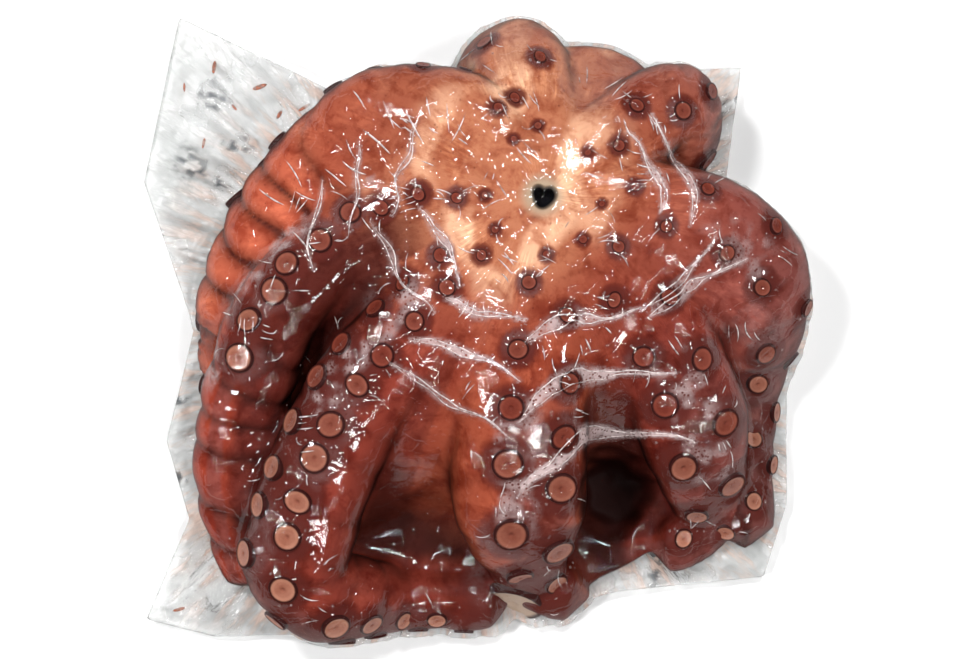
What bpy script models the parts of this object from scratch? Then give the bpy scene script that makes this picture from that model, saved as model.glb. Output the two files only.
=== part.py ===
"""A whole cooked octopus, vacuum sealed in a clear bag, lying with its sucker side up.

Two solids, +Z up, standing on z = 0 with the middle of the pack over the origin:

* octopus    - crown, eight arms, the web between them, the mantle under them, the mouth
               and the larger suckers, with the film drawn tight on them;
* bag_margin - the free margin of the bag, where its two sheets meet round the octopus.

Each arm follows a few arcs seen from above, sinks from the crown to the table and tapers to
its tip. The web hangs between neighbouring arms, and everything is fused into one skin before
the suckers are set on it.
"""
import math
from collections import namedtuple

import bmesh
import bpy
import numpy as np
from mathutils import Matrix, Vector
from mathutils.bvhtree import BVHTree

MM = 0.001

# ---------------------------------------------------------------- arms
CROWN = (24 * MM, 51 * MM, 75 * MM)             # the mouth, on top of the crown
ARM_TOP = 55 * MM           # height of an arm's centre under the mouth
ARM_TIP_RADIUS = 11 * MM
ARM_NECK = 0.6              # how far an arm has thickened beside the mouth
ARM_FULL = 0.4              # share of the way by which it is at its thickest
ARM_TAPER = 0.75            # share of the way down from which it thins again
ARM_REST = 0.9              # height of the centre where it lies on the table, in radii

# An arm: the direction in which it leaves the mouth, in degrees, with 0 towards +X and 90
# towards +Y; its course seen from above, as arcs (length in millimetres and degrees turned,
# less than 0 to the right); its thickest radius, in millimetres; the share of the way at
# which it has come down to the table, and how early it sinks (less than 1 is late); the web
# towards the next arm (share of the way out where it starts to fall, depth in millimetres,
# lean, where less than 1 is nearer this arm, and how far it swells out, in millimetres);
# and its sucker rows. The arms are listed in turn round the mouth.
Arm = namedtuple("Arm", "heading arcs girth down hold valley rows")
# The two rows: degrees that they lie off the upper side towards the next arm, half the
# angle between them, the degrees that they turn further over each 100 mm, the step from a
# sucker to the next one, in the other row, the width of the widest, and the distance along
# the arm beyond which there are none, all in millimetres.
# A minus spread starts with the other row.
Rows = namedtuple("Rows", "turn spread twist pitch widest last")
ARMS = {
    "south": Arm(
        -96, ((80, 0), (62, 16), (24, 70)), 24.5, 0.90, 0.8, (0.55, 50, 0.6, 0),
        Rows(-16, -24, 0, 11, 14, 182)),
    "south_west": Arm(
        -133, ((85, 0), (70, 27), (17, 0), (25, 99), (62, 8)), 19, 0.85, 0.8,
        (0.20, 58, 0.65, 0), Rows(32, 22, 0, 8, 12, 300)),
    "west": Arm(
        183, ((50, 5), (50, 42), (75, 35), (50, 20)), 15.5, 1.0, 1.0, (0.35, 30, 1.0, 0),
        Rows(18, 5, 0, 13, 12, 150)),
    "north_west": Arm(
        130, ((30, 10), (60, 85), (95, 35), (20, 0)), 21.5, 1.0, 2.4, (0.50, 4, 1.0, 7),
        Rows(74, 10, 12, 12, 11, 300)),
    "north": Arm(
        97, ((50, 4), (12, 130), (30, 0)), 18.5, 0.68, 0.8, (0.60, 4, 1.0, 19),
        Rows(0, 26, 0, 13, 12, 300)),
    "north_east": Arm(
        42, ((60, -10), (14, -130), (25, 0)), 15.5, 0.90, 0.8, (0.60, 21, 1.0, 0),
        Rows(0, -22, 0, 13, 12, 300)),
    "east": Arm(
        0, ((72, -25), (40, -78), (35, 14), (45, 0)), 20, 0.62, 0.8, (0.50, 35, 1.0, 0),
        Rows(-12, 28, 0, 12, 10, 300)),
    "south_east": Arm(
        -36, ((80, -30), (60, -16), (25, -90)), 20, 0.86, 0.8, (0.45, 62, 1.35, 0),
        Rows(0, 28, 0, 12, 13, 300)),
}
ROUTE_STEP = 3.5 * MM       # spacing of the points along an arm
ARM_SIDES = 24
ARM_FLATNESS = 0.75         # 1 is a round arm, less has a flatter sucker side
ARM_SPREAD = 1.10           # width of an arm against its height
ARM_TIP = 0.8               # length of the domed ends, in radii

# ---------------------------------------------------------------- web, crown and mantle
WEB_STEPS = 24
WEB_DIVISIONS = 10          # points between two neighbouring arms
WEB_ROOT = 0.98             # height of the web over an arm's centre at the crown, in radii
WEB_EDGE = 0.10             # the same at the outline
WEB_DROP = (0.22, 0.95)     # shares of the way out between which it sinks so
WEB_FLOOR = 14 * MM         # the web never falls lower than this
WEB_UNDER = 6 * MM          # height of the web's flat underside
WEB_SINK = 3 * MM           # depth of the web's middle under the mouth

MANTLE_CENTRE = (4 * MM, 6 * MM, 26 * MM)
MANTLE_RADII = (62 * MM, 56 * MM, 28 * MM)
CROWN_CENTRE = (19 * MM, 40 * MM, 38 * MM)
CROWN_RADII = (49 * MM, 49 * MM, 35 * MM)
BALL_SEGMENTS = 40
BALL_RINGS = 20

SKIN_VOXEL = 1.5 * MM
SKIN_SMOOTH = 8
SKIN_TRIANGLES = 3600

# ---------------------------------------------------------------- suckers and mouth
SUCKER_FIRST = 21 * MM      # distance of the first sucker from the mouth, along the arm
SUCKER_PITCH = 13 * MM      # step to the next one, in the other row, near the mouth
SUCKER_PARTED = 60 * MM     # distance by which the rows lie apart at their own pitch
SUCKER_SMALL = 0.28         # width of the first one against the widest
SUCKER_GROWN = 120 * MM     # distance by which they are at their widest
SUCKER_GROWTH = 0.75        # less than 1 grows faster near the mouth
SUCKER_SHARE = 0.38         # a sucker's radius is never more than this share of its arm's
SUCKER_LEAST = 4.0 * MM     # smaller ones stay part of the skin
SUCKER_LOWEST = 8 * MM      # none sits nearer the table than this
SUCKER_RISE = 1.5 * MM
SUCKER_TAPER = 0.85
SUCKER_SIDES = 10
RAY_START = 2.5             # distance at which the skin is sought, in radii of the arm

MOUTH_WIDTH = 10 * MM
MOUTH_TAPER = 0.5
MOUTH_DEPTH = 11 * MM
MOUTH_SIDES = 16

# ---------------------------------------------------------------- bag
BAG_SHEET = 1.6 * MM        # both films together, stiff with wrinkles
BAG_MARGIN = 2 * MM         # the least width of the margin
# Corners of the bag's free edge, in millimetres; where the octopus reaches further than the
# straight edge between two of them, the margin follows the octopus.
BAG_CORNERS = (
    (-120, 124), (-134, 58), (-114, 0), (-125, -45), (-116, -76), (-133, -116),
    (-106, -123), (0, -120), (54, -105), (113, -99), (122, -70), (122, -22), (133, 12),
    (98, 60), (104, 104), (70, 102), (44, 103), (13, 128), (-18, 102), (-60, 95),
)
BAG_COLUMNS = 90
BAG_ROWS = 2
BAG_SEAM = 17 * MM          # height at which the films meet beside the octopus
BAG_EDGE = 6 * MM           # height of the margin's free edge
BAG_WAVE = 1.2 * MM
BAG_WAVES = 17
BAG_GAP = 1 * MM            # clearance round the octopus
PARALLEL = 1e-9             # an edge that points straight at the middle

# Colour, roughness and opacity of the two materials.
FLESH = ((0.36, 0.10, 0.05), 0.35, 1.0)
FILM = ((0.82, 0.81, 0.79), 0.20, 0.5)


# ---------------------------------------------------------------- routes
def smooth_share(low, high, value):
    """0 below `low`, 1 above `high`, and a smooth rise between them."""
    t = np.clip((value - low) / (high - low), 0.0, 1.0)
    return t * t * (3 - 2 * t)


def arm_course(arm):
    """Places along an arm's arcs seen from above, from the mouth to the tip."""
    heading = math.radians(arm.heading)
    place = np.array(CROWN[:2])
    places = [place]
    for length, turn in arm.arcs:
        steps = round(length * MM / ROUTE_STEP)
        for _ in range(steps):
            heading += math.radians(turn) / steps
            ahead = np.array((math.cos(heading), math.sin(heading)))
            place = place + ahead * length * MM / steps
            places.append(place)
    return np.array(places)


def arm_route(arm):
    """Places and radii at an even spacing along an arm, from under the mouth to the tip.

    It thickens beside the mouth, sinks to the table by its `down` share of the way like a
    quarter of a wave, and tapers from there to the tip.
    """
    course = arm_course(arm)
    share = np.linspace(0.0, 1.0, len(course))
    thick = ARM_NECK + (1 - ARM_NECK) * smooth_share(0.0, ARM_FULL, share)
    thick *= 1 - smooth_share(ARM_TAPER * arm.down, (1 + arm.down) / 2, share)
    radius = ARM_TIP_RADIUS + (arm.girth * MM - ARM_TIP_RADIUS) * thick
    rest = ARM_REST * radius
    sunk = np.cos(math.pi / 2 * np.minimum(share / arm.down, 1.0)) ** arm.hold
    fine = np.column_stack([course, rest + (ARM_TOP - rest) * sunk, radius])
    steps = np.linalg.norm(np.diff(fine[:, :3], axis=0), axis=1)
    distance = np.concatenate([[0.0], np.cumsum(steps)])
    wanted = np.linspace(0.0, distance[-1], int(distance[-1] / ROUTE_STEP) + 1)
    return np.column_stack([np.interp(wanted, distance, column) for column in fine.T])


def arm_frames(route):
    """Directions out of the sucker side and across it, at every point of a route.

    The sucker side starts upwards at the crown and is carried along without twist, so it
    faces outwards where the arm turns down and downwards where the arm is folded under.
    """
    tangents = np.gradient(route[:, :3], axis=0)
    tangents /= np.linalg.norm(tangents, axis=1)[:, None]
    ridge = np.array([0.0, 0.0, 1.0])
    ridges = []
    for tangent in tangents:
        ridge = ridge - ridge.dot(tangent) * tangent
        ridge /= np.linalg.norm(ridge)
        ridges.append(ridge)
    return np.array(ridges), np.cross(tangents, ridges)


# ---------------------------------------------------------------- raw bodies
def section(turn):
    """The arm's cross-section at one turn: its reach up the ridge and across."""
    up = math.cos(turn)
    across = math.sin(turn)
    return (math.copysign(abs(up) ** ARM_FLATNESS, up),
            math.copysign(abs(across) ** ARM_FLATNESS, across) * ARM_SPREAD)


def add_band(mesh, ring, after):
    """Quads between two rings of as many points."""
    for k in range(len(ring)):
        j = (k + 1) % len(ring)
        mesh.faces.new((ring[k], ring[j], after[j], after[k]))


def add_fan(mesh, ring, tip):
    """Triangles from a ring to one point."""
    for k in range(len(ring)):
        mesh.faces.new((ring[k], ring[(k + 1) % len(ring)], tip))


def add_arm(mesh, route):
    """A closed tube with domed ends along a route."""
    ridge, side = arm_frames(route)
    outline = [section(math.tau * k / ARM_SIDES) for k in range(ARM_SIDES)]
    rings = []
    for place, up, across, radius in zip(route[:, :3], ridge, side, route[:, 3]):
        rings.append([mesh.verts.new(place + radius * (u * up + a * across))
                      for u, a in outline])
    for ring, after in zip(rings, rings[1:]):
        add_band(mesh, ring, after)
    for ring, end, inner in ((rings[0][::-1], 0, 1), (rings[-1], -1, -2)):
        direction = route[end, :3] - route[inner, :3]
        direction /= np.linalg.norm(direction)
        tip = mesh.verts.new(route[end, :3] + direction * route[end, 3] * ARM_TIP)
        add_fan(mesh, ring, tip)


def web_rings(routes):
    """Rings of points over the web's top, from the crown to the outline."""
    outer = {name: int(np.argmax(np.hypot(*(route[:, :2] - CROWN[:2]).T)))
             for name, route in routes.items()}
    rings = []
    for ring in range(1, WEB_STEPS + 1):
        share = ring / WEB_STEPS
        held = [route[max(1, round(share * outer[name]))] for name, route in routes.items()]
        lift = WEB_ROOT + (WEB_EDGE - WEB_ROOT) * smooth_share(*WEB_DROP, share)
        points = []
        for name, here, beside in zip(routes, held, held[1:] + held[:1]):
            start, depth, lean, swell = ARMS[name].valley
            fall = depth * MM * smooth_share(start, 1.0, share)
            for k in range(WEB_DIVISIONS):
                across = k / WEB_DIVISIONS
                x, y, z, radius = here * (1 - across) + beside * across
                z += lift * radius - fall * math.sin(math.pi * across ** lean)
                out = (x - CROWN[0], y - CROWN[1])
                swollen = swell * MM * share ** 2 * math.sin(math.pi * across) / math.hypot(*out)
                points.append((x + out[0] * swollen, y + out[1] * swollen, max(z, WEB_FLOOR)))
        rings.append(points)
    return rings


def add_web(mesh, routes):
    """The umbrella of web between the arms, closed below by a flat underside."""
    rings = web_rings(routes)
    edge = [(x, y, WEB_UNDER) for x, y, _ in rings[-1]]
    rows = [[mesh.verts.new(point) for point in ring] for ring in rings + [edge]]
    for row, after in zip(rows, rows[1:]):
        add_band(mesh, row, after)
    top = mesh.verts.new((CROWN[0], CROWN[1], CROWN[2] - WEB_SINK))
    below = mesh.verts.new((0.0, 0.0, WEB_UNDER))
    add_fan(mesh, rows[0][::-1], top)
    add_fan(mesh, rows[-1], below)


def add_ball(mesh, centre, radii):
    """A closed ball with its own radius along each axis."""
    made = bmesh.ops.create_uvsphere(
        mesh, u_segments=BALL_SEGMENTS, v_segments=BALL_RINGS, radius=1.0)
    for vert in made["verts"]:
        vert.co = [centre[k] + vert.co[k] * radii[k] for k in range(3)]


# ---------------------------------------------------------------- scene objects
def clear_scene():
    for made in list(bpy.data.objects):
        bpy.data.objects.remove(made)


def mesh_object(name, mesh):
    """A scene object that holds a bmesh, whose faces are turned outwards first."""
    bmesh.ops.recalc_face_normals(mesh, faces=mesh.faces[:])
    data = bpy.data.meshes.new(name)
    mesh.to_mesh(data)
    mesh.free()
    made = bpy.data.objects.new(name, data)
    bpy.context.scene.collection.objects.link(made)
    return made


def make_cutter(name, mesh):
    """A helper object that only shapes other objects."""
    cutter = mesh_object(name, mesh)
    cutter.hide_render = True
    cutter.display_type = "WIRE"
    return cutter


def add_boolean(made, operation, other):
    """Unites the object with another one, or cuts that one from it."""
    boolean = made.modifiers.new(operation.lower(), "BOOLEAN")
    boolean.operation = operation
    boolean.solver = "EXACT"
    boolean.object = other
    return boolean


def apply_modifiers(made):
    """Makes what the modifiers give the object's own mesh."""
    graph = bpy.context.evaluated_depsgraph_get()
    data = bpy.data.meshes.new_from_object(made.evaluated_get(graph))
    made.modifiers.clear()
    made.data = data


def add_material(made, name, finish):
    """A material of one colour, with its roughness and opacity."""
    colour, roughness, opacity = finish
    material = bpy.data.materials.new(name)
    material.use_nodes = True
    shader = material.node_tree.nodes["Principled BSDF"]
    shader.inputs["Base Color"].default_value = (*colour, 1.0)
    shader.inputs["Roughness"].default_value = roughness
    shader.inputs["Metallic"].default_value = 0.0
    shader.inputs["Alpha"].default_value = opacity
    made.data.materials.clear()
    made.data.materials.append(material)


# ---------------------------------------------------------------- the octopus
def fused_skin(routes):
    """Arms, web, crown and mantle as one smooth skin of few faces."""
    mesh = bmesh.new()
    for route in routes.values():
        add_arm(mesh, route)
    add_web(mesh, routes)
    add_ball(mesh, MANTLE_CENTRE, MANTLE_RADII)
    add_ball(mesh, CROWN_CENTRE, CROWN_RADII)
    octopus = mesh_object("octopus", mesh)
    fuse = octopus.modifiers.new("fuse", "REMESH")
    fuse.mode = "VOXEL"
    fuse.voxel_size = SKIN_VOXEL
    relax = octopus.modifiers.new("relax", "SMOOTH")
    relax.iterations = SKIN_SMOOTH
    apply_modifiers(octopus)
    thin = octopus.modifiers.new("thin", "DECIMATE")
    thin.ratio = SKIN_TRIANGLES / (2 * len(octopus.data.polygons))
    apply_modifiers(octopus)
    return octopus


def sucker_radius(along, arm_radius, widest):
    """Radius of the sucker this far along an arm."""
    grown = min((along - SUCKER_FIRST) / (SUCKER_GROWN - SUCKER_FIRST), 1.0)
    width = widest * (SUCKER_SMALL + (1 - SUCKER_SMALL) * grown ** SUCKER_GROWTH)
    return min(width / 2, SUCKER_SHARE * arm_radius)


def arm_seats(rows, route, skin):
    """Place, outward direction and radius of every sucker of an arm, on the skin."""
    ridge, side = arm_frames(route)
    seats = []
    along = SUCKER_FIRST
    row = 1
    while along < min((len(route) - 2) * ROUTE_STEP, rows.last * MM):
        k = int(along / ROUTE_STEP)
        parted = smooth_share(0.0, SUCKER_PARTED, along)
        twist = rows.twist * max(along - SUCKER_PARTED, 0.0) / (100 * MM)
        angle = math.radians((rows.turn + row * rows.spread) * parted + twist)
        outward = Vector(math.cos(angle) * ridge[k] + math.sin(angle) * side[k])
        above = Vector(route[k, :3]) + outward * RAY_START * route[k, 3]
        place, normal, _, _ = skin.ray_cast(above, -outward)
        if place is not None and place.z > SUCKER_LOWEST:
            seats.append((place, normal, sucker_radius(along, route[k, 3], rows.widest * MM)))
        along += SUCKER_PITCH + (rows.pitch * MM - SUCKER_PITCH) * parted
        row = -row
    return seats


def sucker_seats(routes, skin):
    """Every sucker's seat; one that would touch an earlier one is left out."""
    seats = []
    for name, arm in ARMS.items():
        for place, normal, radius in arm_seats(arm.rows, routes[name], skin):
            free = [math.dist(place, other) > radius + wide for other, _, wide in seats]
            if all(free):
                seats.append((place, normal, radius))
    return seats


def sucker_buttons(routes, skin):
    """A low round button for every sucker large enough to stand off the skin."""
    mesh = bmesh.new()
    for place, normal, radius in sucker_seats(routes, skin):
        if radius < SUCKER_LEAST:
            continue
        seat = normal.to_track_quat("Z", "Y").to_matrix().to_4x4()
        seat.translation = place
        bmesh.ops.create_cone(
            mesh, cap_ends=True, segments=SUCKER_SIDES, radius1=radius,
            radius2=radius * SUCKER_TAPER, depth=2 * SUCKER_RISE, matrix=seat)
    return make_cutter("sucker_buttons", mesh)


def mouth_plug(skin):
    """A tapered plug where the beak was, sunk straight into the crown."""
    above = Vector((CROWN[0], CROWN[1], 2 * CROWN[2]))
    place, _, _, _ = skin.ray_cast(above, Vector((0.0, 0.0, -1.0)))
    mesh = bmesh.new()
    bmesh.ops.create_cone(
        mesh, cap_ends=True, segments=MOUTH_SIDES, radius1=MOUTH_WIDTH / 2 * MOUTH_TAPER,
        radius2=MOUTH_WIDTH / 2 * (2 - MOUTH_TAPER), depth=2 * MOUTH_DEPTH,
        matrix=Matrix.Translation(place))
    return make_cutter("mouth_plug", mesh)


def table_block():
    """A block below z = 0, which leaves the octopus flat spots to rest on."""
    mesh = bmesh.new()
    bmesh.ops.create_cube(mesh, size=1.0, matrix=Matrix.Translation((0.0, 0.0, -0.5)))
    return make_cutter("table_block", mesh)


def make_octopus():
    """The whole animal, with its suckers, its mouth and flat spots to rest on."""
    routes = {name: arm_route(arm) for name, arm in ARMS.items()}
    octopus = fused_skin(routes)
    skin = BVHTree.FromObject(octopus, bpy.context.evaluated_depsgraph_get())
    add_boolean(octopus, "UNION", sucker_buttons(routes, skin)).use_self = True
    add_boolean(octopus, "DIFFERENCE", mouth_plug(skin))
    add_boolean(octopus, "DIFFERENCE", table_block())
    apply_modifiers(octopus)
    add_material(octopus, "cooked_octopus", FLESH)
    return octopus


# ---------------------------------------------------------------- the bag's margin
def outline_reach(octopus, columns):
    """How far the octopus reaches from the middle, in every direction."""
    points = np.array([vert.co for vert in octopus.data.vertices])
    turn = np.arctan2(points[:, 1], points[:, 0])
    distance = np.hypot(points[:, 0], points[:, 1])
    reach = []
    for column in range(columns):
        direction = math.tau * column / columns
        off = np.abs((turn - direction + math.pi) % math.tau - math.pi)
        reach.append(distance[off < math.tau / columns].max())
    return reach


def corner_reach(turn):
    """How far the straight edges between the bag's corners lie from the middle."""
    heading = (math.cos(turn), math.sin(turn))
    reach = 0.0
    for start, stop in zip(BAG_CORNERS, BAG_CORNERS[1:] + BAG_CORNERS[:1]):
        start = np.array(start) * MM
        edge = np.array(stop) * MM - start
        facing = heading[0] * edge[1] - heading[1] * edge[0]
        if abs(facing) < PARALLEL:
            continue
        distance = (start[0] * edge[1] - start[1] * edge[0]) / facing
        share = (start[0] * heading[1] - start[1] * heading[0]) / facing
        if 0.0 <= share <= 1.0 and distance > 0.0:
            reach = max(reach, distance)
    return reach


def margin_rings(reach):
    """Rings of points across the margin, from beside the octopus to the free edge."""
    rings = []
    for row in range(BAG_ROWS + 1):
        out = row / BAG_ROWS
        ring = []
        for column, inner in enumerate(reach):
            turn = math.tau * column / BAG_COLUMNS
            width = max(corner_reach(turn) - inner - BAG_GAP, BAG_MARGIN)
            distance = inner + BAG_GAP + out * width
            height = BAG_SEAM + (BAG_EDGE - BAG_SEAM) * out
            height += BAG_WAVE * out * math.sin(BAG_WAVES * turn)
            ring.append((distance * math.cos(turn), distance * math.sin(turn), height))
        rings.append(ring)
    return rings


def make_bag_margin(octopus):
    """The free margin of the bag, a wavy sheet all round the octopus."""
    rings = margin_rings(outline_reach(octopus, BAG_COLUMNS))
    mesh = bmesh.new()
    up, down = [[[mesh.verts.new((x, y, z + side * BAG_SHEET / 2)) for x, y, z in ring]
                 for ring in rings] for side in (1, -1)]
    for rows in (up, down):
        for row, after in zip(rows, rows[1:]):
            add_band(mesh, row, after)
    add_band(mesh, up[0], down[0])
    add_band(mesh, up[-1], down[-1])
    margin = mesh_object("bag_margin", mesh)
    add_material(margin, "clear_film", FILM)
    return margin


def main():
    clear_scene()
    octopus = make_octopus()
    make_bag_margin(octopus)


main()
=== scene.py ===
"""A whole cooked octopus, vacuum sealed in a clear bag: the finished look of the pack.

The octopus lies with its sucker side up. Its skin is built from the eight arms' routes, the
web between them, the crown and the mantle, fused and relaxed, then given its lobes, creases
and colours. Suckers sit on it in rows. A film drawn tight by the vacuum covers it all: it
touches the flesh where that bulges and bridges the hollows, where it looks milky.
"""
import math
from collections import namedtuple

import bmesh
import bpy
import numpy as np
from mathutils import Matrix, Vector
from mathutils.bvhtree import BVHTree


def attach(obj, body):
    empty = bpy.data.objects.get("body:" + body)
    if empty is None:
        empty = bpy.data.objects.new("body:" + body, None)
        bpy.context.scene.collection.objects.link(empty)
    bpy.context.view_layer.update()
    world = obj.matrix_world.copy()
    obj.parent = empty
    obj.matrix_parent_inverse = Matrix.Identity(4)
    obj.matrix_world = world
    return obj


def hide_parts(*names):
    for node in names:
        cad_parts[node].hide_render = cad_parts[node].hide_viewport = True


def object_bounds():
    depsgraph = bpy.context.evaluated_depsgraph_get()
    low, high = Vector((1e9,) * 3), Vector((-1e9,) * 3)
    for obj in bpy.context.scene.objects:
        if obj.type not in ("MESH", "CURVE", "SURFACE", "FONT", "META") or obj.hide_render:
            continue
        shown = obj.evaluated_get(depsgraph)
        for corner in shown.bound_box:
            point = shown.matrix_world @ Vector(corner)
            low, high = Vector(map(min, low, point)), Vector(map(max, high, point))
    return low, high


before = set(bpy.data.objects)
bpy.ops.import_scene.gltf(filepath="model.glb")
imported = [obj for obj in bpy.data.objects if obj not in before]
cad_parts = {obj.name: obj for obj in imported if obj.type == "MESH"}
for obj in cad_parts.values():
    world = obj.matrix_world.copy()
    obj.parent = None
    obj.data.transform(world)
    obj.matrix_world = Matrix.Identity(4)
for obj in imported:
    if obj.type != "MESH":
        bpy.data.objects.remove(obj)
CAD_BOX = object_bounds()

bl_info = {
    "name": "Vacuum-packed octopus",
    "version": (1, 0, 0),
    "blender": (4, 5, 0),
    "location": "3D View > Sidebar > Octopus",
    "description": "Builds a cooked whole octopus sealed in a clear vacuum bag",
    "category": "Add Mesh",
}

MM = 0.001
BODY = "root"
DOWN = Vector((0.0, 0.0, -1.0))

# ---------------------------------------------------------------- the animal's arms
CROWN = (24 * MM, 51 * MM, 75 * MM)             # the mouth, on top of the crown
ARM_TOP = 55 * MM           # height of an arm's centre under the mouth
ARM_TIP_RADIUS = 11 * MM
ARM_NECK = 0.6              # how far an arm has thickened beside the mouth
ARM_FULL = 0.4              # share of the way by which it is at its thickest
ARM_TAPER = 0.75            # share of the way down from which it thins again
ARM_REST = 0.9              # height of the centre where it lies on the table, in radii

# An arm: the direction in which it leaves the mouth, in degrees, with 0 towards +X and 90
# towards +Y; its course seen from above, as arcs (length in millimetres and degrees turned,
# less than 0 to the right); its thickest radius, in millimetres; the share of the way at which
# it has come down to the table, and how early it sinks (less than 1 is late); the web
# towards the next arm (share of the way out where it starts to fall, depth in millimetres,
# lean, where less than 1 is nearer this arm, and how far it swells out, in millimetres);
# its skin colour and how much darker its far part is; the depth of its lobes and where they
# start (mm); and its sucker rows.
Arm = namedtuple("Arm", "heading arcs girth down hold valley colour fade lobes rows")
# The two rows: degrees that they lie off the upper side towards the next arm, half the
# angle between them, the degrees that they turn further over each 100 mm, the step from a
# sucker to the next one, in the other row, the width of the widest, and the distance from the
# mouth past which none sits, the last three in millimetres. A minus spread starts with the
# other row.
Rows = namedtuple("Rows", "turn spread twist pitch widest last")
ARMS = {
    "south": Arm(
        -96, ((80, 0), (62, 16), (24, 70)), 24.5, 0.90, 0.8, (0.55, 50, 0.6, 0),
        (0.28, 0.056, 0.027), 0.2, (0.4, 60), Rows(-16, -24, 0, 11, 14, 182)),
    "south_west": Arm(
        -133, ((85, 0), (70, 27), (17, 0), (25, 99), (62, 8)), 19, 0.85, 0.8,
        (0.20, 58, 0.65, 0), (0.19, 0.030, 0.018), 0.1, (0.6, 90), Rows(32, 22, 0, 8, 12, 300)),
    "west": Arm(
        183, ((50, 5), (50, 42), (75, 35), (50, 20)), 15.5, 1.0, 1.0, (0.35, 30, 1.0, 0),
        (0.21, 0.028, 0.013), 0.0, (1.8, 105), Rows(18, 5, 0, 13, 12, 150)),
    "north_west": Arm(
        130, ((30, 10), (60, 85), (95, 35), (20, 0)), 21.5, 1.0, 2.4, (0.50, 4, 1.0, 7),
        (0.36, 0.082, 0.043), 0.1, (3.6, 75), Rows(74, 10, 12, 12, 11, 300)),
    "north": Arm(
        97, ((50, 4), (12, 130), (30, 0)), 18.5, 0.68, 0.8, (0.60, 4, 1.0, 19),
        (0.36, 0.105, 0.068), 0.1, (0.4, 30), Rows(0, 26, 0, 13, 12, 300)),
    "north_east": Arm(
        42, ((60, -10), (14, -130), (25, 0)), 15.5, 0.90, 0.8, (0.60, 21, 1.0, 0),
        (0.23, 0.080, 0.064), 0.4, (1.0, 40), Rows(0, -22, 0, 13, 12, 300)),
    "east": Arm(
        0, ((72, -25), (40, -78), (35, 14), (45, 0)), 20, 0.62, 0.8, (0.50, 35, 1.0, 0),
        (0.24, 0.058, 0.044), 0.75, (0.8, 70), Rows(-12, 28, 0, 12, 10, 300)),
    "south_east": Arm(
        -36, ((80, -30), (60, -16), (25, -90)), 20, 0.86, 0.8, (0.45, 62, 1.35, 0),
        (0.17, 0.026, 0.016), 0.2, (0.6, 80), Rows(0, 28, 0, 12, 13, 300)),
}
ROUTE_STEP = 3.5 * MM       # spacing of the points along an arm
ARM_SIDES = 28
ARM_FLATNESS = 0.75         # 1 is a round arm, less has a flatter sucker side
ARM_SPREAD = 1.10           # width of an arm against its height
ARM_TIP = 0.8               # length of the domed ends, in radii

# ---------------------------------------------------------------- web, crown and mantle
WEB_STEPS = 24
WEB_DIVISIONS = 10          # points between two neighbouring arms
WEB_ROOT = 0.98             # height of the web over an arm's centre at the crown, in radii
WEB_EDGE = 0.10             # the same at the outline
WEB_DROP = (0.22, 0.95)     # shares of the way out between which it sinks so
WEB_FLOOR = 14 * MM         # the web never falls lower than this
WEB_UNDER = 6 * MM          # height of the web's flat underside
WEB_SINK = 3 * MM           # depth of the web's middle under the mouth

MANTLE_CENTRE = (4 * MM, 6 * MM, 26 * MM)
MANTLE_RADII = (62 * MM, 56 * MM, 28 * MM)
CROWN_CENTRE = (19 * MM, 40 * MM, 38 * MM)
CROWN_RADII = (49 * MM, 49 * MM, 35 * MM)
BALL_SEGMENTS = 48
BALL_RINGS = 24
SKIN_SMOOTH = 9

# ---------------------------------------------------------------- suckers and mouth
SUCKER_FIRST = 21 * MM      # distance of the first sucker from the mouth, along the arm
SUCKER_PITCH = 13 * MM      # step to the next one, in the other row, near the mouth
SUCKER_PARTED = 60 * MM     # distance by which the rows lie apart at their own pitch
SUCKER_SMALL = 0.28         # width of the first one against the widest
SUCKER_GROWN = 120 * MM     # distance by which they are at their widest
SUCKER_GROWTH = 0.75        # less than 1 grows faster near the mouth
SUCKER_SHARE = 0.38         # a sucker's radius is never more than this share of its arm's
SUCKER_LOWEST = 4 * MM      # none sits nearer the table than this
PALE_ALONG = 1.0            # a distance beyond every arm, which marks the pale one
SUCKER_SEGMENTS = 20
TWIST_LENGTH = 100 * MM     # length of arm over which the rows turn by their twist
RAY_START = 2.5             # how far out a sucker's place on the skin is sought, in radii
# Half a section through a sucker, in radii: distance from its middle, height on the skin.
SUCKER_PROFILE = (
    (0.00, 0.03), (0.09, 0.04), (0.15, 0.11), (0.24, 0.13), (0.55, 0.12), (0.78, 0.15),
    (0.89, 0.19), (0.955, 0.17), (0.99, 0.10), (1.00, 0.0), (0.95, -0.35),
)

# A pale sucker that shows edge on where the south arm turns under: how far to the side and
# how high it sits, its width, all in millimetres, and the direction that it faces.
PALE_SUCKER = (13, 12, 27, (-0.2, -0.88, 0.42))

# The hole between two arms: its distance along both, its share of the way across, its size.
HOLE_ARMS = ("south", "south_east")
HOLE_ALONG = 130
HOLE_SHARE = 0.52
HOLE_RADIUS = 14 * MM
HOLE_SQUAT = 0.8            # less than 1 is longer from the mouth outwards
HOLE_DEPTH = 9 * MM
# How black the painted shade in the folds between the arms gets.
FOLD_DARKNESS = 0.80
# Distances from the mouth, in millimetres, between which painted shade darkens the fold towards
# the next arm.
FOLD_DARKENS = {
    "south": (112, 142), "south_west": (58, 92), "west": (110, 140), "north_west": (80, 110),
    "north": (60, 90), "north_east": (60, 92), "east": (80, 110), "south_east": (98, 124),
}

PALE_MIDDLE = (12 * MM, 66 * MM)                # middle of the pale skin round the mouth

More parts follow.
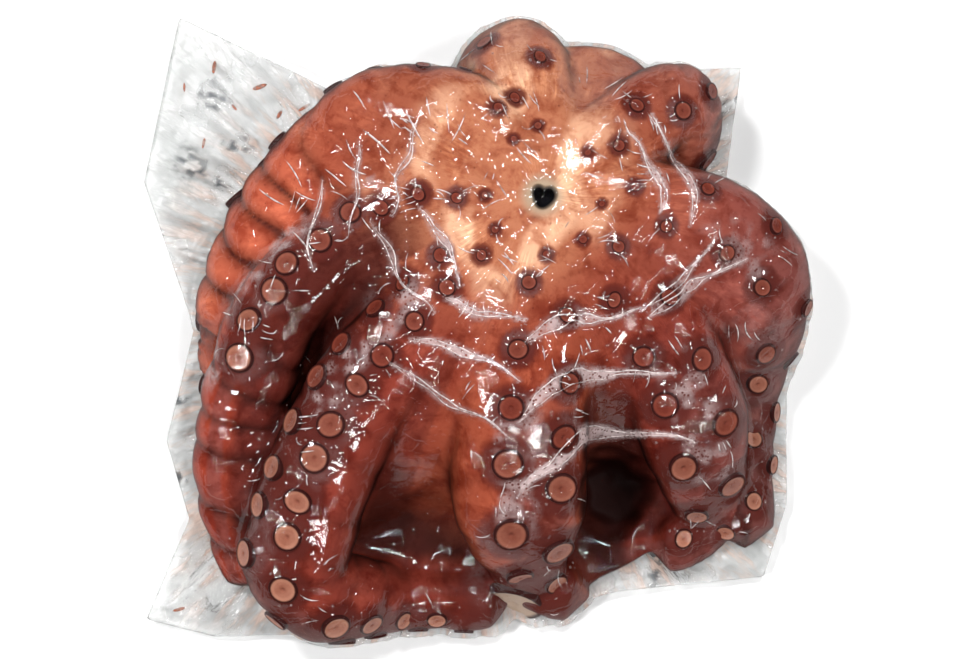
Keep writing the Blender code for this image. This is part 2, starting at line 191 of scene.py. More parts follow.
# Flanks that lie in the shade of a fold: the arm, the middle of the flank in degrees round it
# from the upper side (more than 0 is towards the next arm), half its width, and how dark.
DARK_FLANKS = (
    ("west", -62, 78, 0.88), ("south_west", 95, 38, 0.85), ("south_west", -80, 50, 0.30),
    ("south", -95, 40, 0.75), ("south_east", 95, 40, 0.75), ("east", 110, 60, 0.6),
    ("north_west", 88, 34, 0.75),
)
SHADE = (0.055, 0.009, 0.007)
BAND = (0.150, 0.046, 0.040)                    # the skin between the two rows
BAND_STRENGTH = 0.65
WEB_SKIN = (0.27, 0.062, 0.032)
CROWN_SKIN = (0.42, 0.150, 0.078)
CROWN_PALE_AND_SHEEN = (0.70, 0.380, 0.235)               # where it is paler: partly its own paler tone, partly painted wet sheen
ARM_FADES = (115 * MM, 160 * MM)                # distances over which an arm darkens
WEB_FADES = (52 * MM, 98 * MM)                  # from the pale middle, arms' colour beyond
CROWN_FADES = (30 * MM, 66 * MM)                # the same, web's colour beyond
SIDE_LIGHT = 0.12                               # painted shade: brightness of skin that faces sideways or down, against skin that faces up
LOBE_SHADING_STRENGTH = 0.72                          # strength of the painted shade in the creases between the lobes, and of the painted light on their tops
BAND_MARGIN = 7.0                               # degrees that it reaches past the rows

MOUTH_RADIUS = 4.6 * MM
MOUTH_DEPTH = 10 * MM
MOUTH_LIP = 10.5 * MM       # how far out the pale lip reaches
MOUTH_REFINED = 14 * MM     # the skin is refined this far round it
MOUTH_CUTS = 2              # how many times its edges are halved there
MOUTH_ROUNDING = 0.6        # how round the new points make it
# The hole's outline, as shares of its radius: how far it is off the middle, its notch, and its
# three corners; then where the corners start, in radians, where the notch lies, in degrees, and
# half its width in radians.
MOUTH_LEAN = 0.12
MOUTH_NOTCH = 0.26
MOUTH_CORNERS = 0.08
MOUTH_CORNER_START = 0.6
NOTCH_TURN = 75
NOTCH_WIDTH = 0.42
MOUTH_EDGE = (-0.9 * MM, 0.7 * MM)              # from in the hole to out of it
LIP_FADES = (0.45, 1.0)                         # shares of the lip's reach

LOBE_PITCH = 17 * MM        # step from one lobe to the next
LOBE_SHAPE = 0.65           # less than 1 is a broad lobe with a sharp crease
LOBE_MEAN = 0.62            # the skin's own level, as a share of a lobe's height
LOBES_GROW = 40 * MM        # distance over which they come up to their depth
SKIN_WAVES = ((0.8 * MM, 24 * MM, 5), (0.35 * MM, 9 * MM, 7))   # height, size, seed
LIP_HEIGHT = 0.5 * MM
SKIN_LOWEST = 0.4 * MM      # height that the skin never falls under
FLANK_FADES = (32 * MM, 66 * MM)                # distances over which the shade comes up
BAND_FADES = (60 * MM, 100 * MM)                # the same for the skin between the rows


# ---------------------------------------------------------------- small helpers
def smooth_share(low, high, value):
    """0 below `low`, 1 above `high`, and a smooth rise between them."""
    t = np.clip((value - low) / (high - low), 0.0, 1.0)
    return t * t * (3 - 2 * t)


def unevenness(points, size, seed):
    """A smooth uneven field over points, from -1 to 1, with bumps about `size` across."""
    draw = np.random.default_rng(seed)
    total = np.zeros(len(points))
    waves = 14
    for _ in range(waves):
        direction = draw.normal(size=3)
        direction /= np.linalg.norm(direction)
        stretch = draw.uniform(0.6, 1.5)
        phase = draw.uniform(0.0, math.tau)
        total += np.sin(points @ direction * (math.pi * stretch / size) + phase)
    return np.clip(total / math.sqrt(waves) * 0.9, -1.0, 1.0)


def mixed(first, second, share):
    """The first, turned into the second by a share."""
    return first * (1 - share) + second * share


def direction_of(turn):
    """The direction of a turn, seen from above."""
    return np.array((math.cos(turn), math.sin(turn)))


def square_gaps(points, others):
    """The square of every point's distance to every one of the others."""
    return ((points ** 2).sum(1)[:, None] - 2 * points @ others.T
            + (others ** 2).sum(1)[None, :])


def streak_places(turn, away, count, length):
    """Texture places whose noise runs in streaks out from the middle."""
    return np.column_stack([count * np.cos(turn), count * np.sin(turn), away / length])


def surface_of(made):
    """An object's surface, for rays to meet."""
    return BVHTree.FromObject(made, bpy.context.evaluated_depsgraph_get())


def dropped(surface, x, y):
    """Where a plumb line from above meets a surface, and the outward direction there."""
    place, normal, _, _ = surface.ray_cast(Vector((x, y, 2 * CROWN[2])), DOWN)
    return place, normal


def mesh_points(data):
    """The places of a mesh's points."""
    flat = np.empty(3 * len(data.vertices), np.float32)
    data.vertices.foreach_get("co", flat)
    return flat.reshape(-1, 3).astype(float)


def mesh_normals(data):
    """The outward directions at a mesh's points."""
    flat = np.empty(3 * len(data.vertices), np.float32)
    data.vertex_normals.foreach_get("vector", flat)
    return flat.reshape(-1, 3).astype(float)


def mesh_edges(data):
    """The two points of every edge."""
    flat = np.empty(2 * len(data.edges), np.int32)
    data.edges.foreach_get("vertices", flat)
    return flat.reshape(-1, 2)


def set_points(data, points):
    """Moves a mesh's points to new places."""
    data.vertices.foreach_set("co", points.astype(np.float32).ravel())
    data.update()


def store(data, name, values):
    """Keeps one number, or one colour, for every point of a mesh."""
    if values.ndim == 1:
        layer = data.attributes.new(name, "FLOAT", "POINT")
        layer.data.foreach_set("value", values.astype(np.float32))
        return
    layer = data.attributes.new(name, "FLOAT_COLOR", "POINT")
    full = np.column_stack([values, np.ones(len(values))])
    layer.data.foreach_set("color", full.astype(np.float32).ravel())


def store_vectors(data, name, values):
    """Keeps one vector for every point of a mesh."""
    layer = data.attributes.new(name, "FLOAT_VECTOR", "POINT")
    layer.data.foreach_set("vector", np.asarray(values, np.float32).ravel())


class Membrane:
    """Moves a mesh's points towards the middle of their neighbours."""

    def __init__(self, edges, count):
        self.first = edges[:, 0]
        self.second = edges[:, 1]
        self.count = count
        self.shares = np.bincount(edges.ravel(), minlength=count).astype(float)

    def mean(self, values):
        """The mean of every point's neighbours."""
        columns = []
        for column in values.reshape(self.count, -1).T:
            near = np.bincount(self.first, column[self.second], self.count)
            near += np.bincount(self.second, column[self.first], self.count)
            columns.append(near / self.shares)
        return np.column_stack(columns).reshape(values.shape)

    def relax(self, values, times, strength=0.5):
        """The values, drawn towards their neighbours' mean so many times."""
        for _ in range(times):
            values = values + strength * (self.mean(values) - values)
        return values


# ---------------------------------------------------------------- routes
def arm_course(arm):
    """Places along an arm's arcs seen from above, from the mouth to the tip."""
    heading = math.radians(arm.heading)
    place = np.array(CROWN[:2])
    places = [place]
    for length, turn in arm.arcs:
        steps = round(length * MM / ROUTE_STEP)
        for _ in range(steps):
            heading += math.radians(turn) / steps
            place = place + direction_of(heading) * length * MM / steps
            places.append(place)
    return np.array(places)


def arm_route(arm):
    """Places and radii at an even spacing along an arm, from under the mouth to the tip.

    It thickens beside the mouth, sinks to the table by its `down` share of the way like a
    quarter of a wave, and tapers from there to the tip.
    """
    course = arm_course(arm)
    share = np.linspace(0.0, 1.0, len(course))
    thick = ARM_NECK + (1 - ARM_NECK) * smooth_share(0.0, ARM_FULL, share)
    thick *= 1 - smooth_share(ARM_TAPER * arm.down, (1 + arm.down) / 2, share)
    radius = ARM_TIP_RADIUS + (arm.girth * MM - ARM_TIP_RADIUS) * thick
    rest = ARM_REST * radius
    sunk = np.cos(math.pi / 2 * np.minimum(share / arm.down, 1.0)) ** arm.hold
    fine = np.column_stack([course, rest + (ARM_TOP - rest) * sunk, radius])
    steps = np.linalg.norm(np.diff(fine[:, :3], axis=0), axis=1)
    distance = np.concatenate([[0.0], np.cumsum(steps)])
    wanted = np.linspace(0.0, distance[-1], int(distance[-1] / ROUTE_STEP) + 1)
    return np.column_stack([np.interp(wanted, distance, column) for column in fine.T])


def arm_frames(route):
    """Directions along a route, out of the sucker side, and across it.

    The sucker side starts upwards at the crown and is carried along without twist, so it
    faces outwards where the arm turns down and downwards where the arm is folded under.
    """
    tangents = np.gradient(route[:, :3], axis=0)
    tangents /= np.linalg.norm(tangents, axis=1)[:, None]
    ridge = np.array([0.0, 0.0, 1.0])
    ridges = []
    for tangent in tangents:
        ridge = ridge - ridge.dot(tangent) * tangent
        ridge /= np.linalg.norm(ridge)
        ridges.append(ridge)
    ridges = np.array(ridges)
    return tangents, ridges, np.cross(tangents, ridges)


ROUTES = {name: arm_route(arm) for name, arm in ARMS.items()}


# ---------------------------------------------------------------- raw bodies
def section(turn):
    """The arm's cross-section at one turn: its reach up the ridge and across."""
    up = math.cos(turn)
    across = math.sin(turn)
    return (math.copysign(abs(up) ** ARM_FLATNESS, up),
            math.copysign(abs(across) ** ARM_FLATNESS, across) * ARM_SPREAD)


def add_band(mesh, ring, after):
    """Quads between two rings of as many points."""
    for k in range(len(ring)):
        j = (k + 1) % len(ring)
        mesh.faces.new((ring[k], ring[j], after[j], after[k]))


def add_fan(mesh, ring, tip):
    """Triangles from a ring to one point."""
    for k in range(len(ring)):
        mesh.faces.new((ring[k], ring[(k + 1) % len(ring)], tip))


def add_arm(mesh, route):
    """A closed tube with domed ends along a route."""
    _, ridge, side = arm_frames(route)
    outline = [section(math.tau * k / ARM_SIDES) for k in range(ARM_SIDES)]
    rings = []
    for place, up, across, radius in zip(route[:, :3], ridge, side, route[:, 3]):
        rings.append([mesh.verts.new(place + radius * (u * up + a * across))
                      for u, a in outline])
    for ring, after in zip(rings, rings[1:]):
        add_band(mesh, ring, after)
    for ring, end, inner in ((rings[0][::-1], 0, 1), (rings[-1], -1, -2)):
        direction = route[end, :3] - route[inner, :3]
        direction /= np.linalg.norm(direction)
        tip = mesh.verts.new(route[end, :3] + direction * route[end, 3] * ARM_TIP)
        add_fan(mesh, ring, tip)


def web_rings():
    """Rings of points over the web's top, from the crown to the outline."""
    outer = {name: int(np.argmax(np.hypot(*(route[:, :2] - CROWN[:2]).T)))
             for name, route in ROUTES.items()}
    rings = []
    for ring in range(1, WEB_STEPS + 1):
        share = ring / WEB_STEPS
        held = [route[max(1, round(share * outer[name]))] for name, route in ROUTES.items()]
        lift = WEB_ROOT + (WEB_EDGE - WEB_ROOT) * smooth_share(*WEB_DROP, share)
        points = []
        for name, here, beside in zip(ROUTES, held, held[1:] + held[:1]):
            start, depth, lean, swell = ARMS[name].valley
            fall = depth * MM * smooth_share(start, 1.0, share)
            for k in range(WEB_DIVISIONS):
                across = k / WEB_DIVISIONS
                x, y, z, radius = mixed(here, beside, across)
                z += lift * radius - fall * math.sin(math.pi * across ** lean)
                out = (x - CROWN[0], y - CROWN[1])
                swollen = swell * MM * share ** 2 * math.sin(math.pi * across) / math.hypot(*out)
                points.append((x + out[0] * swollen, y + out[1] * swollen, max(z, WEB_FLOOR)))
        rings.append(points)
    return rings


def add_web(mesh):
    """The umbrella of web between the arms, closed below by a flat underside."""
    rings = web_rings()
    edge = [(x, y, WEB_UNDER) for x, y, _ in rings[-1]]
    rows = [[mesh.verts.new(point) for point in ring] for ring in rings + [edge]]
    for row, after in zip(rows, rows[1:]):
        add_band(mesh, row, after)
    top = mesh.verts.new((CROWN[0], CROWN[1], CROWN[2] - WEB_SINK))
    below = mesh.verts.new((0.0, 0.0, WEB_UNDER))
    add_fan(mesh, rows[0][::-1], top)
    add_fan(mesh, rows[-1], below)


def add_ball(mesh, centre, radii):
    """A closed ball with its own radius along each axis."""
    made = bmesh.ops.create_uvsphere(
        mesh, u_segments=BALL_SEGMENTS, v_segments=BALL_RINGS, radius=1.0)
    for vert in made["verts"]:
        vert.co = [centre[k] + vert.co[k] * radii[k] for k in range(3)]


def mesh_object(name, mesh):
    """A scene object that holds a bmesh, whose faces are turned outwards first."""
    bmesh.ops.recalc_face_normals(mesh, faces=mesh.faces[:])
    data = bpy.data.meshes.new(name)
    mesh.to_mesh(data)
    mesh.free()
    made = bpy.data.objects.new(name, data)
    bpy.context.scene.collection.objects.link(made)
    return made


def apply_modifiers(made):
    """Makes what the modifiers give the object's own mesh."""
    graph = bpy.context.evaluated_depsgraph_get()
    data = bpy.data.meshes.new_from_object(
        made.evaluated_get(graph), preserve_all_data_layers=True, depsgraph=graph)
    made.modifiers.clear()
    made.data = data


def finish_piece(made, node, material=None):
    """Gives a piece its material and its place in the pack's frame."""
    if material:
        made.data.materials.clear()
        made.data.materials.append(material)
    made.data.shade_smooth()
    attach(made, BODY)
    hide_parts(node)


# ---------------------------------------------------------------- materials
def add_node(tree, kind, inputs=None, **settings):
    """A node whose inputs are values or other nodes' outputs."""
    made = tree.nodes.new(kind)
    for key, value in settings.items():
        setattr(made, key, value)
    for key, value in (inputs or {}).items():
        if isinstance(value, bpy.types.NodeSocket):
            tree.links.new(value, made.inputs[key])
        else:
            made.inputs[key].default_value = value
    return made


class Recipe:
    """Writes out a material's nodes, one call each."""

    def __init__(self, name):
        self.material = bpy.data.materials.new(name)
        self.material.use_nodes = True
        self.tree = self.material.node_tree
        self.tree.nodes.clear()
        self.place = self.node("ShaderNodeTexCoord").outputs["Object"]

    def node(self, kind, inputs=None, **settings):
        """A node whose inputs are values or other nodes' outputs."""
        return add_node(self.tree, kind, inputs, **settings)

    def attribute(self, name, output="Fac"):
        """A layer that the mesh carries."""
        return self.node("ShaderNodeAttribute", attribute_name=name).outputs[output]

    def noise(self, size, detail=3.0, roughness=0.5, warp=0.0, place=None):
        """Uneven values from 0 to 1, with spots about `size` metres across."""
        made = self.node("ShaderNodeTexNoise", {
            "Vector": place or self.place, "Scale": 1.0 / size, "Detail": detail,
            "Roughness": roughness, "Distortion": warp})
        return made.outputs["Fac"]

    def warped(self, size, amount):
        """The place, shifted unevenly by up to about `amount`."""
        drift = self.node("ShaderNodeTexNoise", {
            "Vector": self.place, "Scale": 1.0 / size, "Detail": 2.0})
        even = self.node("ShaderNodeVectorMath", {
            0: drift.outputs["Color"], 1: (0.5, 0.5, 0.5)}, operation="SUBTRACT")
        shift = self.node("ShaderNodeVectorMath", {
            0: even.outputs[0], "Scale": 2 * amount}, operation="SCALE")
        moved = self.node("ShaderNodeVectorMath", {0: self.place, 1: shift.outputs[0]})
        return moved.outputs[0]

    def cells(self, size, feature="F1", place=None):
        """Distance to the nearest of scattered points, in cells."""
        made = self.node("ShaderNodeTexVoronoi", {
            "Vector": place or self.place, "Scale": 1.0 / size}, feature=feature)
        return made.outputs["Distance"]

    def math(self, operation, first, second=0.0, clamp=False):
        """One sum."""
        made = self.node("ShaderNodeMath", {0: first, 1: second}, operation=operation)
        made.use_clamp = clamp
        return made.outputs[0]

    def between(self, value, low, high, to_low=0.0, to_high=1.0):
        """The value's smooth share of the way from `low` to `high`."""
        made = self.node("ShaderNodeMapRange", {
            "Value": value, "From Min": low, "From Max": high,
            "To Min": to_low, "To Max": to_high}, interpolation_type="SMOOTHSTEP")
        return made.outputs["Result"]

    def mix(self, share, first, second, blend="MIX"):
        """One colour over another."""
        made = self.node("ShaderNodeMix", data_type="RGBA", blend_type=blend)
        for socket, value in ((made.inputs[0], share), (made.inputs[6], first),
                              (made.inputs[7], second)):
            if isinstance(value, bpy.types.NodeSocket):
                self.tree.links.new(value, socket)
            else:
                socket.default_value = (*value, 1.0) if isinstance(value, tuple) else value
        return made.outputs[2]

    def stained(self, share, colour, stain):
        """A colour, multiplied with a stain by a share."""
        return self.mix(share, colour, self.mix(1.0, colour, stain, "MULTIPLY"))

    def bump(self, height, distance, strength=1.0, normal=None):
        """Relief too fine for the mesh."""
        inputs = {"Height": height, "Distance": distance, "Strength": strength}
        if normal:
            inputs["Normal"] = normal
        return self.node("ShaderNodeBump", inputs).outputs["Normal"]

    def blend(self, share, first, second):
        """One shader over another."""
        made = self.node("ShaderNodeMixShader", {0: share, 1: first, 2: second})
        return made.outputs[0]

    def film(self, milk, shine, tint, colour, roughness, normal=None):
        """See-through film: `milk` of it is whitish, and `shine` of it mirrors."""
        relief = {"Normal": normal} if normal else {}
        clear = self.node("ShaderNodeBsdfTransparent", {"Color": (*tint, 1.0)})
        colour = (*colour, 1.0) if isinstance(colour, tuple) else colour
        white = self.node("ShaderNodeBsdfDiffuse", {"Color": colour, **relief})
        gloss = self.node("ShaderNodeBsdfGlossy", {
            "Color": (1.0, 1.0, 1.0, 1.0), "Roughness": roughness, **relief})
        body = self.blend(milk, clear.outputs[0], white.outputs[0])
        return self.blend(shine, body, gloss.outputs[0])

    def surface(self, shader):
        """The finished material."""
        self.node("ShaderNodeOutputMaterial", {"Surface": shader})
        return self.material


def flesh_material():
    """Cooked skin: fibres running out from the mouth, mottling, dark specks and spots; its hollows
    and the spots round the suckers are dark partly from pigment and partly from painted shade, and
    the folds between the arms and the throat are darkened by painted shade.
    """
    recipe = Recipe("cooked_skin")
    fibre_place = recipe.attribute("fibre", "Vector")
    fibres = recipe.noise(0.35, 5.0, 0.62, 0.3, fibre_place)
    mottle = recipe.noise(9 * MM, 5.0, 0.6, 0.4)
    fine = recipe.noise(2.2 * MM, 4.0, 0.6)
    colour = recipe.attribute("colour", "Color")
    patches = recipe.noise(22 * MM, 2.0, 0.5)
    strands = recipe.math("MULTIPLY", recipe.between(fibres, 0.40, 0.72),
                          recipe.between(patches, 0.42, 0.66))
    colour = recipe.stained(strands, colour, (1.50, 1.80, 1.80))
    colour = recipe.stained(recipe.between(mottle, 0.42, 0.70), colour, (0.62, 0.42, 0.36))
    colour = recipe.stained(recipe.between(fine, 0.50, 0.72, 0.0, 0.6), colour, (0.76, 0.56, 0.50))
    dots = recipe.cells(3.4 * MM)
    dots = recipe.math("MULTIPLY", recipe.between(dots, 0.16, 0.08),
                       recipe.between(mottle, 0.40, 0.60))
    colour = recipe.mix(recipe.math("MULTIPLY", dots, 0.55), colour, (0.10, 0.012, 0.008))
    # Dark spots round the suckers: partly the skin's own pigment, partly painted shade at their
    # bases.
    spots = recipe.attribute("spot")
    ragged = recipe.math("ADD", spots, recipe.math("MULTIPLY", fine, 0.35))
    stain = recipe.math("ADD", spots, recipe.math("MULTIPLY", mottle, 0.55))
    colour = recipe.stained(recipe.between(stain, 0.34, 0.75, 0.0, 0.75), colour,
                            (0.52, 0.30, 0.24))
    colour = recipe.mix(recipe.between(ragged, 0.35, 1.0, 0.0, 0.9), colour,
                        (0.085, 0.014, 0.010))
    # Hollows darkened: partly the skin's own dark pigment in its grooves, partly painted shade.
    colour = recipe.mix(recipe.between(recipe.attribute("hollow"), 0.15, 1.0, 0.0, 0.55),
                        colour, (0.045, 0.006, 0.005))
    # Painted shade: the deep layer darkens the folds between the arms and the hole between two
    # towards black, and the throat layer paints the mouth's hole near black; the lip layer is the
    # lip's own pale colour.
    for layer, shade in (("deep", (0.012, 0.0025, 0.002)), ("lip", (0.40, 0.29, 0.20)),
                         ("throat", (0.004, 0.004, 0.006))):
        colour = recipe.mix(recipe.attribute(layer), colour, shade)
    relief = recipe.bump(fibres, 0.5 * MM, 0.5)
    relief = recipe.bump(fine, 0.25 * MM, 0.35, relief)
    shader = recipe.node("ShaderNodeBsdfPrincipled", {
        "Base Color": colour, "Roughness": 0.55, "Specular IOR Level": 0.05,
        "Normal": relief})
    return recipe.surface(shader.outputs[0])


def sucker_material():
    """A sucker: tan, slightly hollow face with a small pit, a paler outer ring that is partly its
    own tone and partly painted highlight, and a dark edge that is partly its own rim and partly
    painted shade.
    """
    recipe = Recipe("sucker_skin")
    ring = recipe.attribute("ring")
    tint = recipe.attribute("tint")
    rays = recipe.noise(1.6 * MM, 3.0, 0.6)
    soft = recipe.noise(5 * MM, 3.0, 0.5)
    face = recipe.mix(tint, (0.145, 0.027, 0.016), (0.31, 0.125, 0.082))
    face = recipe.stained(recipe.between(soft, 0.40, 0.72, 0.0, 0.6), face, (0.76, 0.60, 0.54))
    face = recipe.stained(recipe.between(rays, 0.40, 0.75, 0.0, 0.45), face, (1.22, 1.25, 1.25))
    face = recipe.mix(recipe.between(ring, 0.20, 0.06, 0.0, 0.35), face, (0.13, 0.030, 0.022))
    face = recipe.stained(recipe.between(ring, 0.45, 0.10, 0.0, 0.5), face, (0.80, 0.62, 0.55))
    # Paler outer ring of the face: partly its own tone, partly painted highlight.
    face = recipe.stained(recipe.between(ring, 0.50, 0.70, 0.0, 0.55), face, (1.35, 1.55, 1.55))
    face = recipe.mix(recipe.attribute("pale"), face, (0.42, 0.30, 0.22))
    # Dark edge: partly the sucker's own dark rim, partly painted shade where it meets the skin.
    face = recipe.mix(recipe.between(ring, 0.74, 0.88), face, (0.030, 0.005, 0.004))
    relief = recipe.bump(rays, 0.25 * MM, 0.5)
    shader = recipe.node("ShaderNodeBsdfPrincipled", {
        "Base Color": face, "Roughness": 0.5, "Specular IOR Level": 0.06, "Normal": relief})
    return recipe.surface(shader.outputs[0])


def film_material():
    """Clear film: glossy, milky where it stands off the flesh or is creased."""
    recipe = Recipe("clear_film_tight")
    cloud = recipe.noise(7 * MM, 4.0, 0.6, 0.5)
    crinkle = recipe.noise(3.2 * MM, 5.0, 0.65, 1.2)
    bent = recipe.warped(9 * MM, 5 * MM)
    facets = recipe.between(recipe.cells(9 * MM, "DISTANCE_TO_EDGE", bent), 0.0, 0.10)
    bubbles = recipe.cells(1.5 * MM)
    holes = recipe.math("MULTIPLY", recipe.between(bubbles, 0.22, 0.36),
                        recipe.between(cloud, 0.30, 0.62, 0.35, 1.0))
    milk = recipe.math("MULTIPLY", recipe.attribute("haze"), holes, True)
    relief = recipe.bump(crinkle, 0.35 * MM, 0.20)
    relief = recipe.bump(facets, 0.5 * MM, 0.35, relief)
    mirror = recipe.node("ShaderNodeFresnel", {"IOR": 1.26, "Normal": relief})
    shine = recipe.math("MINIMUM", recipe.math("MULTIPLY", mirror.outputs[0], 2.2), 0.032)
    drawn = recipe.film(milk, shine, (0.98, 0.98, 0.98), (0.72, 0.56, 0.55), 0.05, relief)
    gone = recipe.node("ShaderNodeBsdfTransparent", {"Color": (0.98, 0.98, 0.98, 1.0)})
    return recipe.surface(recipe.blend(recipe.attribute("void"), drawn, gone.outputs[0]))


def margin_material():
    """The bag's free margin: two films, greyish white where they wrinkle, with painted shade in
    dark patches where they crumple.
    """
    recipe = Recipe("clear_film_loose")
    cloud = recipe.noise(30 * MM, 3.0, 0.5, 0.5)
    wrinkle = recipe.noise(6 * MM, 5.0, 0.65, 1.5)
    drawn = recipe.noise(0.5, 4.0, 0.6, 0.2, recipe.attribute("drawn", "Vector"))
    dark = recipe.attribute("dark")
    stained = recipe.math("MULTIPLY", recipe.attribute("near"),
                          recipe.between(drawn, 0.42, 0.62), True)
    tone = recipe.mix(recipe.between(cloud, 0.42, 0.66), (0.80, 0.79, 0.78),
                      (0.62, 0.63, 0.62))
    tone = recipe.mix(stained, tone, (0.68, 0.50, 0.42))
    # Painted shade: the crumpled film turns dark grey where the dark layer says.
    tone = recipe.mix(dark, tone, (0.05, 0.06, 0.07))
    milk = recipe.math("ADD", recipe.between(cloud, 0.30, 0.70, 0.20, 0.50),
                       recipe.between(drawn, 0.50, 0.70, 0.0, 0.30), True)
    milk = recipe.math("MAXIMUM", milk, dark)
    relief = recipe.bump(wrinkle, 1.2 * MM, 0.35)
    relief = recipe.bump(drawn, 3 * MM, 0.8, relief)
    mirror = recipe.node("ShaderNodeFresnel", {"IOR": 1.45, "Normal": relief})
    return recipe.surface(recipe.film(milk, mirror.outputs[0], (0.93, 0.94, 0.94), tone, 0.12,
                                      relief))


# ---------------------------------------------------------------- the skin
ArmPlaces = namedtuple("ArmPlaces", "number along turn off offs")


def arm_places(points):
    """For every point: its arm, how far along it lies, its turn round it, and how far it
    stands off every arm."""
    count = len(points)
    offs = np.empty((count, len(ROUTES)))
    alongs = np.empty((count, len(ROUTES)))
    turns = np.empty((count, len(ROUTES)))
    for number, route in enumerate(ROUTES.values()):
        tangent, ridge, side = arm_frames(route)
        centres = route[:, :3]
        square = square_gaps(points, centres)
        gap = np.sqrt(np.maximum(square, 0.0)) - route[:, 3][None, :]
        nearest = gap.argmin(1)
        out = points - centres[nearest]
        ahead = (out * tangent[nearest]).sum(1)
        offs[:, number] = gap[np.arange(count), nearest]
        alongs[:, number] = nearest * ROUTE_STEP + np.clip(ahead, -ROUTE_STEP, ROUTE_STEP)
        turns[:, number] = np.arctan2((out * side[nearest]).sum(1),
                                      (out * ridge[nearest]).sum(1))
    own = offs.argmin(1)
    pick = (np.arange(count), own)
    return ArmPlaces(own, alongs[pick], turns[pick], offs[pick], offs)


def of_arms(places, values):
    """One value for each arm, handed to every point of that arm."""
    return np.array(list(values))[places.number]


def degrees_off(places, middle):
    """How far every point lies round its arm from a turn, in degrees."""
    return np.abs((np.degrees(places.turn) - middle + 180) % 360 - 180)


def fused_skin(voxel):
    """Arms, web, crown and mantle as one smooth skin of even small faces."""
    mesh = bmesh.new()
    for route in ROUTES.values():
        add_arm(mesh, route)
    add_web(mesh)
    add_ball(mesh, MANTLE_CENTRE, MANTLE_RADII)
    add_ball(mesh, CROWN_CENTRE, CROWN_RADII)
    made = mesh_object("octopus_flesh", mesh)
    fuse = made.modifiers.new("fuse", "REMESH")
    fuse.mode = "VOXEL"
    fuse.voxel_size = voxel
    relax = made.modifiers.new("relax", "SMOOTH")
    relax.iterations = SKIN_SMOOTH
    apply_modifiers(made)
    return made


def refine_mouth(made):
    """Smaller faces round the mouth."""
    mesh = bmesh.new()
    mesh.from_mesh(made.data)
    for _ in range(MOUTH_CUTS):
        near = [edge for edge in mesh.edges
                if max(math.dist(vert.co[:2], CROWN[:2]) for vert in edge.verts)
                < MOUTH_REFINED and edge.verts[0].co.z > CROWN[2] / 2]
        bmesh.ops.subdivide_edges(mesh, edges=near, cuts=1, use_grid_fill=True,
                                  smooth=MOUTH_ROUNDING)
    bmesh.ops.triangulate(mesh, faces=[face for face in mesh.faces if len(face.verts) > 4])
    mesh.to_mesh(made.data)
    mesh.free()


def mouth_shares(points):
    """How far every point is over the mouth's lip, and how deep in its throat."""
    x, y = (points[:, :2] - CROWN[:2]).T
    away = np.hypot(x, y)
    turn = np.arctan2(y, x)
    notch = np.exp(-((turn - math.radians(NOTCH_TURN)) / NOTCH_WIDTH) ** 2)
    edge = MOUTH_RADIUS * (1.0 + MOUTH_LEAN * np.cos(turn) - MOUTH_NOTCH * notch
                           + MOUTH_CORNERS * np.sin(3 * turn + MOUTH_CORNER_START))
    above = points[:, 2] > CROWN[2] / 2
    throat = (1.0 - smooth_share(*MOUTH_EDGE, away - edge)) * above
    lip = (1.0 - smooth_share(*LIP_FADES, away / MOUTH_LIP)) * above
    return lip, throat


def shape_skin(made):
    """Lobes across the arms, unevenness and the mouth, as moves along the skin's normals."""
    data = made.data
    points = mesh_points(data)
    normals = mesh_normals(data)
    places = arm_places(points)
    depth = of_arms(places, (arm.lobes[0] for arm in ARMS.values())) * MM
    start = of_arms(places, (arm.lobes[1] for arm in ARMS.values())) * MM
    wander = unevenness(points, 30 * MM, 3)
    phase = places.along / LOBE_PITCH + 0.30 * wander + 0.12 * np.sin(places.turn)
    lobes = np.abs(np.cos(math.pi * phase)) ** LOBE_SHAPE - LOBE_MEAN
    close = 1.0 - smooth_share(1 * MM, 7 * MM, places.off)
    grown = smooth_share(0.0, LOBES_GROW, places.along - start)
    move = depth * lobes * close * grown
    # Painted shade in the creases between the lobes (above 0) and painted light on their tops
    # (below 0), for the skin's colour.
    lobe_shading = -lobes / LOBE_MEAN * close * grown * np.minimum(depth / (2 * MM), 1.0)
    for height, size, seed in SKIN_WAVES:
        move += height * unevenness(points, size, seed)
    lip, throat = mouth_shares(points)
    move += LIP_HEIGHT * np.sin(math.pi * np.clip(lip, 0.0, 1.0))
    points = points + normals * move[:, None]
    points[:, 2] -= MOUTH_DEPTH * throat + HOLE_DEPTH * hole_share(points)
    points[:, 2] = np.maximum(points[:, 2], SKIN_LOWEST)
    set_points(data, points)
    return places, lip, throat, lobe_shading


def flank_shades(places):
    """How far every point lies on a shaded flank."""
    shade = np.zeros(len(places.along))
    for name, middle, half, strength in DARK_FLANKS:
        own = places.number == list(ARMS).index(name)
        off = degrees_off(places, middle) / half
        weight = (1 - smooth_share(0.55, 1.0, off)) * smooth_share(*FLANK_FADES, places.along)
        shade = np.maximum(shade, strength * own * weight)
    return shade


def between_rows(places):
    """How far every point lies between the two sucker rows of its arm."""
    turn = of_arms(places, (arm.rows.turn for arm in ARMS.values()))
    half = of_arms(places, (abs(arm.rows.spread) + BAND_MARGIN for arm in ARMS.values()))
    off = degrees_off(places, turn) / half
    return (1 - smooth_share(0.75, 1.15, off)) * smooth_share(*BAND_FADES, places.along)


